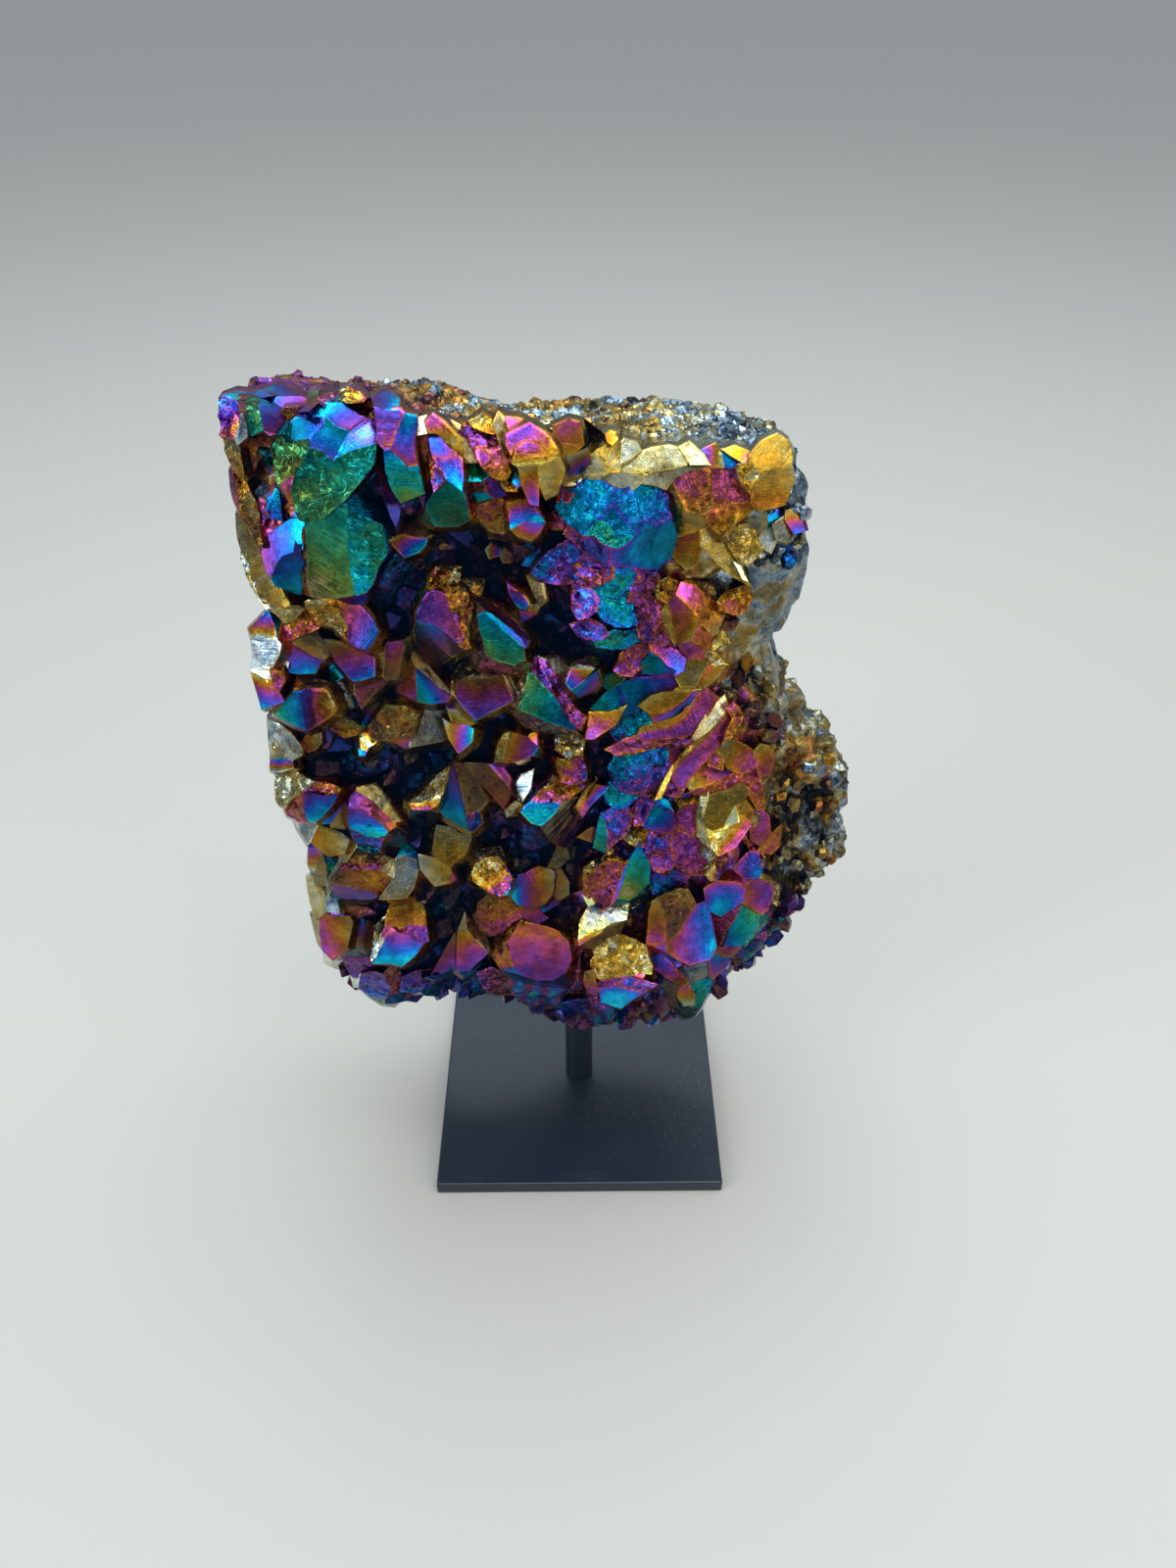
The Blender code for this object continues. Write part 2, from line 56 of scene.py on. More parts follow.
# the slab's outline from the front, as (x, z) in mm, from the top left corner on
outline = [
    (-50,159.5), (-44,160.5), (-36,159.5), (-28,159.5), (-22,159), (-17,157), (-10,155), (-3,156),
    (5,156.5), (13,156.5), (20,155), (26,153), (32,151.5), (35.5,147), (37,140), (37,133), (36,126),
    (32,119), (35,111), (40.5,104), (46,97.5), (49.3,90), (50.6,80), (51.8,72.5), (48.3,65.5), (44,59.5),
    (40,52), (34,44), (28,35.5), (21,29.5), (10,29), (0,27.5), (-7,29.5), (-12,34), (-19,38), (-26,37.5),
    (-33,37.5), (-40,34), (-45,38), (-49,46), (-51,56), (-50.5,67), (-48.5,77), (-50.5,86), (-51.7,95),
    (-51.5,105), (-51.8,115), (-50.7,124), (-49.3,130), (-50.7,139), (-51.4,149),
]


# the way from the eye through a place in the frame
def sightLine(px, py):
    ray = eyeForward + eyeRight * ((px - centreX) / focal) + eyeDown * ((py - centreY) / focal)
    return ray.normalized()


# where points in mm come in the frame
def seenAt(points):
    p = np.asarray(points, float) - np.array(eyePlace)
    depth = p @ np.array(eyeForward)
    px = centreX + focal * (p @ np.array(eyeRight)) / depth
    return px, centreY + focal * (p @ np.array(eyeDown)) / depth


# which places lie inside a closed outline
def inLoop(px, py, loop):
    inside = np.zeros(np.shape(px), bool)
    for (x1, y1), (x2, y2) in zip(loop, loop[1:] + loop[:1]):
        if y1 == y2:
            continue
        crosses = (np.asarray(py) < y1) != (np.asarray(py) < y2)
        inside ^= crosses & (px < x1 + (np.asarray(py) - y1) * (x2 - x1) / (y2 - y1))
    return inside


def noiseAt(points, size, octaves=1, seed=0):
    shift = Vector((seed * 17.3, seed * -9.1, seed * 5.7))
    out = np.empty(len(points))
    for i, p in enumerate(points):
        v = Vector(p) / size + shift
        out[i] = noise.noise(v) if octaves == 1 else noise.fractal(v, 0.8, 2.1, octaves)
    return out


# cells of a stone-like pattern: how far the middle of the nearest is, and a number of its own
def bumpsAt(points, size, seed=0):
    shift = Vector((seed * 13.7, seed * 4.9, seed * -7.7))
    near, cell = np.empty(len(points)), np.empty(len(points))
    for i, p in enumerate(points):
        away, middles = noise.voronoi(Vector(p) / size + shift)
        near[i], cell[i] = away[0], noise.cell(middles[0] * 7.3)
    return near, cell


def meshArrays(mesh):
    co = np.empty(len(mesh.vertices) * 3, np.float32)
    mesh.vertices.foreach_get("co", co)
    normals = np.empty(len(mesh.vertices) * 3, np.float32)
    mesh.vertex_normals.foreach_get("vector", normals)
    return co.reshape(-1, 3).astype(float), normals.reshape(-1, 3).astype(float)


def setPlaces(mesh, co):
    mesh.vertices.foreach_set("co", np.ascontiguousarray(co, np.float32).ravel())
    mesh.update()


def setValues(mesh, name, values, domain="POINT"):
    layer = mesh.attributes.get(name) or mesh.attributes.new(name, "FLOAT", domain)
    layer.data.foreach_set("value", np.ascontiguousarray(values, np.float32))


def select(obj):
    bpy.ops.object.select_all(action="DESELECT")
    obj.select_set(True)
    bpy.context.view_layer.objects.active = obj


def chooseEdges(mesh, chosen):
    mesh.vertices.foreach_set("select", np.zeros(len(mesh.vertices), bool))
    mesh.polygons.foreach_set("select", np.zeros(len(mesh.polygons), bool))
    mesh.edges.foreach_set("select", chosen)


# cuts edges in two until none is longer than its limit
def splitLongEdges(obj, limit, rounds):
    select(obj)
    mesh = obj.data
    for step in range(rounds):
        co = meshArrays(mesh)[0]
        ends = np.empty(len(mesh.edges) * 2, np.int32)
        mesh.edges.foreach_get("vertices", ends)
        ends = ends.reshape(-1, 2)
        length = np.linalg.norm(co[ends[:, 0]] - co[ends[:, 1]], axis=1)
        chosen = length > limit(co[ends].mean(1))
        if not chosen.any():
            break
        bpy.ops.object.mode_set(mode="EDIT")
        bpy.ops.mesh.select_mode(type="EDGE")
        bpy.ops.object.mode_set(mode="OBJECT")
        chooseEdges(mesh, chosen)
        bpy.ops.object.mode_set(mode="EDIT")
        bpy.ops.mesh.subdivide(number_cuts=1)
        bpy.ops.mesh.select_all(action="SELECT")
        bpy.ops.mesh.quads_convert_to_tris(quad_method="SHORTEST_DIAGONAL", ngon_method="BEAUTY")
        bpy.ops.object.mode_set(mode="OBJECT")
    print("   ", obj.name, len(mesh.polygons), "faces after", step, "rounds")


# mm to metres, its coating, and its place in the frame
def finishPiece(obj, material, angle):
    select(obj)
    obj.data.transform(Matrix.Scale(0.001, 4))
    obj.data.materials.clear()
    obj.data.materials.append(material)
    bpy.ops.object.shade_smooth_by_angle(angle=math.radians(angle))
    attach(obj, "root")
    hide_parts("crystal_cluster")
    print(" ", obj.name, len(obj.data.polygons), "faces")


# one socket of a node tree, so that node maths reads as plain maths
class Wire:
    def __init__(self, tree, socket):
        self.tree, self.socket = tree, socket

    def make(self, kind, settings=None, inputs=None, output=0, stops=None):
        node = self.tree.nodes.new(kind)
        for name, value in (settings or {}).items():
            setattr(node, name, value)
        if stops:
            ramp = node.color_ramp
            while len(ramp.elements) > 1:
                ramp.elements.remove(ramp.elements[-1])
            for i, (place, colour) in enumerate(stops):
                element = ramp.elements[0] if i == 0 else ramp.elements.new(place)
                element.position = place
                element.color = (*colour, 1)
        for name, value in (inputs or {}).items():
            target = node.inputs[name]
            if isinstance(value, Wire):
                self.tree.links.new(value.socket, target)
            else:
                target.default_value = value
        return Wire(self.tree, node.outputs[output])

    def maths(self, operation, other=None):
        inputs = {0: self} if other is None else {0: self, 1: other}
        return self.make("ShaderNodeMath", {"operation": operation}, inputs)

    def __add__(self, other):
        return self.maths("ADD", other)

    __radd__ = __add__

    def __sub__(self, other):
        return self.maths("SUBTRACT", other)

    def __rsub__(self, other):
        return self.make("ShaderNodeMath", {"operation": "SUBTRACT"}, {0: other, 1: self})

    def __mul__(self, other):
        return self.maths("MULTIPLY", other)

    __rmul__ = __mul__

    # another output of the same node
    def beside(self, output):
        return Wire(self.tree, self.socket.node.outputs[output])

    def between(self, low, high, toLow=0.0, toHigh=1.0):
        return self.make(
            "ShaderNodeMapRange",
            {"interpolation_type": "SMOOTHSTEP"},
            {"Value": self, "From Min": low, "From Max": high, "To Min": toLow, "To Max": toHigh},
        )

    def scaled(self, factor):
        return self.make("ShaderNodeVectorMath", {"operation": "SCALE"}, {0: self, "Scale": factor})

    def mixed(self, first, second, factor, blend="MIX"):
        settings = {"data_type": "RGBA", "blend_type": blend}
        return self.make("ShaderNodeMix", settings, {0: factor, 6: first, 7: second}, output=2)


def newMaterial(name):
    material = bpy.data.materials.new(name)
    material.use_nodes = True
    tree = material.node_tree
    tree.nodes.clear()
    out = tree.nodes.new("ShaderNodeOutputMaterial")
    shader = tree.nodes.new("ShaderNodeBsdfPrincipled")
    tree.links.new(shader.outputs[0], out.inputs[0])
    start = Wire(tree, None)
    place = start.make("ShaderNodeTexCoord", output=3)
    return material, shader, start, place


def join(wire, socket):
    wire.tree.links.new(wire.socket, socket)


def noiseWire(start, place, scale, detail, rough, distortion=0.0):
    return start.make(
        "ShaderNodeTexNoise",
        {"noise_dimensions": "3D"},
        {"Vector": place, "Scale": scale, "Detail": detail, "Roughness": rough, "Distortion": distortion},
    )


# the film's colours by its thickness, from bare silver through gold, magenta and blue to green
filmColours = [
    (0,(.03,.055,.09)), (.05,(.37,.49,.6)), (.09,(.58,.6,.48)), (.135,(.5,.43,.2)), (.19,(.42,.28,.04)),
    (.25,(.38,.16,.002)), (.32,(.36,.085,.035)), (.38,(.34,.05,.17)), (.45,(.18,.045,.33)),
    (.52,(.07,.065,.46)), (.58,(.01,.11,.48)), (.64,(.004,.27,.53)), (.7,(.004,.3,.34)),
    (.78,(.015,.28,.17)), (.85,(.07,.25,.07)), (.91,(.17,.22,.03)), (1,(.48,.36,.2)),
]

# how fine each pattern in the coating is, and the painted blue of the dark gaps: a tint added to their
# colour and a painted glow
coatValues = {
    "broad": 150, "fine": 800, "dust": 2600, "veins": 330, "pits": 420, "clouds": 300,
    "stripes": (2.4, 0.16, 0.0),
    "paintedGapTint": (0.002, 0.010, 0.026, 1), "paintedGapGlow": (0.05, 0.28, 0.82), "glow": 0.009,
}


# the thin metal film on the quartz: film thickness, painted brightness (highlight and shade painted into the
# colour) and grain come from the piece's attributes
def coating(name, looks):
    material, shader, start, place = newMaterial(name)

    def attribute(name):
        return start.make("ShaderNodeAttribute", {"attribute_name": name}, output=2)

    def cells(scale):
        inputs = {"Vector": place, "Scale": scale}
        colour = start.make("ShaderNodeTexVoronoi", {"voronoi_dimensions": "3D"}, inputs, output=1)
        centre = colour.beside("Position")
        spin = start.make("ShaderNodeVectorMath", {"operation": "SUBTRACT"}, {0: colour, 1: (0.5, 0.5, 0.5)})
        offset = start.make("ShaderNodeVectorMath", {"operation": "SUBTRACT"}, {0: place, 1: centre})
        inputs = {0: offset, 1: spin}
        tilt = start.make("ShaderNodeVectorMath", {"operation": "DOT_PRODUCT"}, inputs, output="Value")
        parts = start.make("ShaderNodeSeparateColor", {}, {"Color": colour})
        return tilt, parts, parts.beside(1)

    film, shade = attribute("film"), attribute("shade")
    lined, crinkled, rim = attribute("lined"), attribute("crinkled"), attribute("rim")
    broad = noiseWire(start, place, coatValues["broad"], 3.0, 0.6, 0.8)
    fine = noiseWire(start, place, coatValues["fine"], 3.0, 0.65)
    dust = noiseWire(start, place, coatValues["dust"], 2.0, 0.6)
    veins = noiseWire(start, place, coatValues["veins"], 2.0, 0.6, 1.4)
    pits = noiseWire(start, place, coatValues["pits"], 4.0, 0.7).between(0.30, 0.40, 0.35, 1.0)
    clouds = noiseWire(start, place, coatValues["clouds"], 2.0, 0.5).between(0.3, 0.7, 0.72, 1.35)
    uv = start.make("ShaderNodeUVMap", {"uv_map": "stripes"})
    inputs = {0: uv, 1: coatValues["stripes"]}
    stretched = start.make("ShaderNodeVectorMath", {"operation": "MULTIPLY"}, inputs)
    lines = noiseWire(start, stretched, 1.0, 4.0, 0.7)
    tiltBig, cellBig, glintBig = cells(looks["cell"])
    tiltSmall, cellSmall, glintSmall = cells(looks["cell"] * 2.7)
    crease = (veins - 0.5).maths("ABSOLUTE").between(0.0, 0.035, 1.0, 0.0) * crinkled
    drift = (
        (broad - 0.5) * looks["wander"]
        + (fine - 0.5) * (crinkled * 0.16 + 0.03)
        + (lines - 0.5) * lined * 0.22
        + (cellBig - 0.5) * crinkled * looks["mosaic"]
        + (cellSmall - 0.5) * crinkled * looks["mosaic"] * 0.6
    )
    edged = (rim * looks["rim"] + crease * looks["crease"]).maths("MINIMUM", 1.0)
    # the warm creases fade where the film is thick and green
    edged = edged * film.between(0.5, 0.72, 1.0, 0.25)
    thickness = film + drift
    thickness = (thickness + (0.22 - thickness) * edged).maths("MAXIMUM", 0.0).maths("MINIMUM", 1.0)
    colour = start.make("ShaderNodeValToRGB", {}, {"Fac": thickness}, stops=filmColours)
    speck = (fine * 0.6 + dust * 0.4).between(0.3, 0.7, 1 - looks["mottle"], 1 + looks["mottle"])
    # painted glints: cells of the crinkled film are painted lighter or darker, as if each caught the light
    # its own way
    glint = (glintBig - 0.5) * crinkled * looks["glint"]
    glint = glint + (glintSmall - 0.5) * crinkled * looks["glint"] + 1.0
    # painted light and shade along the striations: some lines are painted lighter, others darker
    ridged = (lines - 0.5) * lined * 1.6 + 1.0
    # painted highlight: rims and creases are painted up to half again as bright, on top of the facet's
    # painted brightness
    bright = shade * speck * glint * ridged * pits * clouds * (edged * 0.5 + 1.0)
    shown = colour.scaled(bright.maths("MAXIMUM", 0.0))
    grey = start.make("ShaderNodeHueSaturation", {}, {"Color": shown, "Saturation": 1 - looks["dull"]})
    # painted shade and glow: where the painted brightness is low, the colour gets a deep blue tint and the
    # surface glows faintly blue, as if light lingered in the gaps
    dark = shade.between(0.15, 0.75, 1.0, 0.2)
    join(start.mixed(grey, coatValues["paintedGapTint"], dark, "ADD"), shader.inputs["Base Color"])
    inputs = {0: coatValues["paintedGapGlow"], "Scale": dark}
    glow = start.make("ShaderNodeVectorMath", {"operation": "SCALE"}, inputs)
    join(glow, shader.inputs["Emission Color"])
    shader.inputs["Emission Strength"].default_value = coatValues["glow"]
    shader.inputs["Metallic"].default_value = 1.0
    roughness = crinkled * 0.10 + (fine - 0.5) * 0.16 + (dust - 0.5) * 0.1 + looks["rough"]
    join(roughness.maths("MAXIMUM", 0.07), shader.inputs["Roughness"])
    facets = (tiltBig * 0.55 + tiltSmall * 0.75) * (crinkled * looks["tilt"] + 0.02)
    faceted = start.make("ShaderNodeBump", {}, {"Strength": 1.0, "Distance": 1.0, "Height": facets})
    height = fine * 0.4 + dust * (crinkled * 0.3 + 0.06) + lines * lined * 1.6 + crease * 1.5
    inputs = {"Strength": looks["bump"], "Distance": 0.00012, "Height": height, "Normal": faceted}
    join(start.make("ShaderNodeBump", {}, inputs), shader.inputs["Normal"])
    return material


# the listed rows as crystals, with their corners in pixels of the frame
def readCrystals(groups):
    crystals = []
    for group in groups:
        for depth, *rows in group["crystals"]:
            facets = []
            for finish, tiltX, tiltZ, filmStart, filmEnd, way, shade, *numbers in rows:
                corners = [
                    (group["left"] + u * 10 / group["zoom"], group["top"] + v * 10 / group["zoom"])
                    for u, v in zip(numbers[0::2], numbers[1::2])
                ]
                facets.append({
                    "finish": finish, "normal": Vector((tiltX, -1.0, tiltZ)), "film": (filmStart, filmEnd),
                    "way": math.radians(way), "shade": shade, "corners": corners,
                })
            crystals.append({"depth": depth, "facets": facets})
    return crystals


# how far a rim looks for its neighbour and how far it may move, in pixels of the frame
growth = {"look": 15, "solid": 7.0, "open": 4.5, "overlap": 0.8, "edge": 1.5, "rows": 1150, "columns": 950}


# moves the rims of neighbouring crystals until they meet
def growCrystals(crystals):
    owner = np.full((growth["rows"], growth["columns"]), -1, np.int32)
    for index, crystal in enumerate(crystals):
        for facet in crystal["facets"]:
            xs, ys = [c[0] for c in facet["corners"]], [c[1] for c in facet["corners"]]
            x0, x1, y0, y1 = int(min(xs)), int(max(xs)) + 2, int(min(ys)), int(max(ys)) + 2
            gx, gy = np.meshgrid(np.arange(x0, x1), np.arange(y0, y1))
            owner[y0:y1, x0:x1][inLoop(gx, gy, facet["corners"])] = index

    def ownerAt(x, y):
        row = min(max(int(round(y)), 0), growth["rows"] - 1)
        return owner[row, min(max(int(round(x)), 0), growth["columns"] - 1)]

    for index, crystal in enumerate(crystals):
        edges = {}
        for facet in crystal["facets"]:
            corners = facet["corners"]
            area = sum(a[0] * b[1] - b[0] * a[1] for a, b in zip(corners, corners[1:] + corners[:1]))
            if area < 0:
                facet["corners"] = corners = corners[::-1]
            for a, b in zip(corners, corners[1:] + corners[:1]):
                edges[(a, b)] = edges.get((b, a)) is None
                if (b, a) in edges:
                    edges[(b, a)] = edges[(a, b)] = False
        moves = {}
        for (a, b), rim in edges.items():
            if not rim:
                continue
            length = math.hypot(b[0] - a[0], b[1] - a[1])
            if length < 0.1:
                continue
            out = ((b[1] - a[1]) / length, (a[0] - b[0]) / length)
            free = []
            for t in (0.2, 0.5, 0.8):
                x, y = a[0] + (b[0] - a[0]) * t, a[1] + (b[1] - a[1]) * t
                if ownerAt(x + out[0] * 2, y + out[1] * 2) == index:
                    free.append(-1)
                    continue
                reach = 1
                while reach < growth["look"]:
                    if ownerAt(x + out[0] * reach, y + out[1] * reach) not in (-1, index):
                        break
                    reach += 1
                free.append(reach)
            if max(free) < 0:
                amount = 0
            else:
                free = [f for f in free if f >= 0]
                gap = sum(free) / len(free)
                openness = openAt(np.array([(a[0] + b[0]) / 2]), np.array([(a[1] + b[1]) / 2]))[0]
                most = growth["solid"] + (growth["open"] - growth["solid"]) * openness
                amount = growth["edge"]
                if gap < growth["look"] - 0.5:
                    amount = min(gap * 0.5 + growth["overlap"], most)
            for c in (a, b):
                moves.setdefault(c, []).append((out, amount))
        moved = {}
        for c, pushes in moves.items():
            x = sum(o[0] * m for o, m in pushes) / len(pushes)
            y = sum(o[1] * m for o, m in pushes) / len(pushes)
            if len(pushes) == 2:
                (o1, m1), (o2, m2) = pushes
                turn = o1[0] * o2[1] - o1[1] * o2[0]
                if abs(turn) > 0.25:
                    x = (m1 * o2[1] - m2 * o1[1]) / turn
                    y = (m2 * o1[0] - m1 * o2[0]) / turn
            size = math.hypot(x, y)
            most = 1.5 * max(m for o, m in pushes) + 0.01
            if size > most:
                x, y = x * most / size, y * most / size
            moved[c] = (c[0] + x, c[1] + y)
        for facet in crystal["facets"]:
            facet["corners"] = [moved.get(c, c) for c in facet["corners"]]


# the drawn crystals, in mm: the top of the crest, the least that a facet faces the eye, how far forward and
# back a corner may lie, the walls' feet in the slab and their flare, the bevels, the mesh and the limits
drawnValues = {
    "crest": 163.6, "facing": 0.22, "forward": -23.5, "back": -7.5, "ahead": 6, "behind": 7,
    "foot": -2.5, "shoulder": 2.5, "spread": 6, "flare": 0.16, "openFlare": 0.58, "margin": 2.5,
    "bevel": 0.11, "sharp": 14, "edge": 0.72, "quickEdge": 1.6, "rounds": 9,
    "reach": (-52.2, 51.5), "highest": 165.2, "perPixel": 0.23,
}


# finds each facet's plane from its tilt and from the corners that it shares
def solveFacets(crystal):
    places = {}
    for facet in crystal["facets"]:
        corners = facet["corners"]
        normal = facet["normal"].copy()
        known = [places[c] for c in corners if c in places]
        meanX = sum(c[0] for c in corners) / len(corners)
        meanY = sum(c[1] for c in corners) / len(corners)
        middle = sightLine(meanX, meanY)
        if len(known) >= 2:
            a, b = max(((p, q) for p in known for q in known), key=lambda pair: (pair[0] - pair[1]).length)
            along = (b - a).normalized()
            flat = normal - along * normal.dot(along)
            if flat.length > 0.2:
                normal = flat
            anchor = (a + b) / 2
        elif known:
            anchor = known[0]
        else:
            anchor = eyePlace + middle * ((crystal["depth"] - eyePlace.y) / middle.y)
        normal.normalize()
        facing = normal.dot(middle)
        if facing > -drawnValues["facing"]:
            normal = (normal - middle * (facing + drawnValues["facing"])).normalized()
        for c in corners:
            if c in places:
                continue
            ray = sightLine(*c)
            slope = normal.dot(ray)
            reach = (crystal["depth"] - eyePlace.y) / ray.y
            if abs(slope) > 0.05:
                reach = normal.dot(anchor - eyePlace) / slope
            y = eyePlace.y + ray.y * reach
            y = max(y, anchor.y - drawnValues["ahead"], drawnValues["forward"])
            y = min(y, anchor.y + drawnValues["behind"], drawnValues["back"])
            # a corner that would rise above the slab's crest slides back along its sight line
            y = max(y, eyePlace.y + ray.y * (drawnValues["crest"] - eyePlace.z) / ray.z)
            places[c] = eyePlace + ray * ((y - eyePlace.y) / ray.y)
    crystal["places"] = places


# the nearest place well inside the slab's outline
def insideSlab(x, z, margin):
    x = min(max(x, -51.5 + margin), 51.5 - margin)
    z = min(max(z, 29 + margin), 159 - margin)
    if inLoop(np.array([x]), np.array([z]), outline)[0]:
        return x, z
    best = min(outline, key=lambda p: (p[0] - x) ** 2 + (p[1] - z) ** 2)
    away = Vector((-best[0], 95 - best[1])).normalized() * margin
    return best[0] + away.x, best[1] + away.y


# carries each crystal's facets back into the slab, bevels its edges and cuts it fine
def buildDrawn(name, crystals, seed):
    allPlaces, allFaces, allIds, facetRows = [], [], [], []
    for number, crystal in enumerate(crystals):
        bm = bmesh.new()
        idLayer = bm.faces.layers.int.new("facet")
        corner = {c: bm.verts.new(p) for c, p in crystal["places"].items()}
        for facet in crystal["facets"]:
            try:
                face = bm.faces.new([corner[c] for c in facet["corners"]])
            except ValueError:
                continue
            face.normal_update()
            if face.normal.dot(face.calc_center_median() - eyePlace) > 0:
                face.normal_flip()
            face[idLayer] = len(facetRows)
            facetRows.append(facet)
        fronts = set(bm.faces)
        middle = sum((v.co for v in bm.verts), Vector()) / len(bm.verts)
        slope = (eyePlace.z - middle.z) / (middle.y - eyePlace.y) - 0.12
        rim = [e for e in bm.edges if len(e.link_faces) == 1]
        flare = drawnValues["flare"] + drawnValues["openFlare"] * openAt(*seenAt([middle]))[0]
        rings = []
        for drop, flare in ((drawnValues["shoulder"], flare), (None, flare * 0.85)):
            ring = {}
            for v in dict.fromkeys(v for e in rim for v in e.verts):
                reach = drop if drop else drawnValues["foot"] - v.co.y
                spread = Vector((v.co.x - middle.x, v.co.z - middle.z))
                if spread.length > 0:
                    spread = spread.normalized() * flare * min(reach, drawnValues["spread"])
                x, z = v.co.x + spread.x, v.co.z - slope * reach + spread.y
                if not drop:
                    x, z = insideSlab(x, z, drawnValues["margin"])
                ring[v] = bm.verts.new((x, v.co.y + reach, z))
            rings.append(ring)
        sideId = -1 - number
        for e in rim:
            face = e.link_faces[0]
            loop = [l for l in face.loops if l.edge == e][0]
            first, second = loop.vert, loop.link_loop_next.vert
            upper = (second, first)
            for ring in rings:
                lower = (ring[second], ring[first])
                side = bm.faces.new((upper[0], upper[1], lower[1], lower[0]))
                side[idLayer] = sideId
                upper = lower
        bmesh.ops.holes_fill(bm, edges=[e for e in bm.edges if len(e.link_faces) == 1], sides=0)
        for face in bm.faces:
            if face[idLayer] == 0 and face not in fronts:
                face[idLayer] = sideId
        bm.normal_update()
        sharp = [
            e for e in bm.edges
            if len(e.link_faces) == 2 and e.calc_face_angle(0) > math.radians(drawnValues["sharp"])
            and any(f[idLayer] >= 0 for f in e.link_faces)
        ]
        if sharp:
            bmesh.ops.bevel(
                bm, geom=sharp, offset=drawnValues["bevel"], offset_type="OFFSET", segments=1,
                affect="EDGES", clamp_overlap=True, material=-1,
            )
        bmesh.ops.triangulate(bm, faces=bm.faces[:], quad_method="BEAUTY", ngon_method="BEAUTY")
        start = len(allPlaces)
        bm.verts.index_update()
        allPlaces += [tuple(v.co) for v in bm.verts]
        allFaces += [tuple(start + v.index for v in f.verts) for f in bm.faces]
        allIds += [f[idLayer] for f in bm.faces]
        bm.free()
    mesh = bpy.data.meshes.new(name)
    mesh.from_pydata(allPlaces, [], allFaces)
    mesh.attributes.new("facet", "INT", "FACE").data.foreach_set("value", allIds)
    obj = bpy.data.objects.new(name, mesh)
    bpy.context.scene.collection.objects.link(obj)
    fineEdge = drawnValues["edge"]

    # fine in front, coarse where the slab hides it
    def limit(mid):
        return np.where(mid[:, 1] < -10.5, fineEdge, np.where(mid[:, 1] < -7, 2.0, 5.0))

    splitLongEdges(obj, limit, drawnValues["rounds"])
    shadeDrawn(obj, facetRows, crystals, seed)
    return obj


# the relief on each finish in mm, how striated and how crinkled each finish looks, and how wide its rims are
relief = {
    "soft": 0.05, "striated": 0.13, "rough": 0.3, "roughFine": 0.16, "crinkled": 0.9, "crinkledFine": 0.12,
    "lined": [0.25, 1.0, 0.3, 0.15], "crinkles": [0.05, 0.12, 0.5, 1.0], "rimWidth": 0.55, "from": -8,
}
# how facets and walls are toned with painted light and shade: the contrast, the painted shade on brown in
# the gaps, how far a run of colour goes past its ends, how it is painted brighter and leans to the light,
# and the walls' film and painted brightness
toning = {
    "contrast": 1.35, "brown": 0.32, "brownShade": 1.2, "brownGapShade": 0.3, "beyond": 0.06,
    "runs": 0.08, "runLow": 0.72, "runRise": 0.6, "lean": 70, "leanRange": (0.68, 1.4),
    "wallFilm": 0.14, "wallSpread": 0.13, "wallShade": 0.78, "wallDepthShade": 0.62, "wallFoot": -19,
    "wallHeight": 9, "upperFrom": 148, "upperOver": 6, "upperShade": 0.9,
}
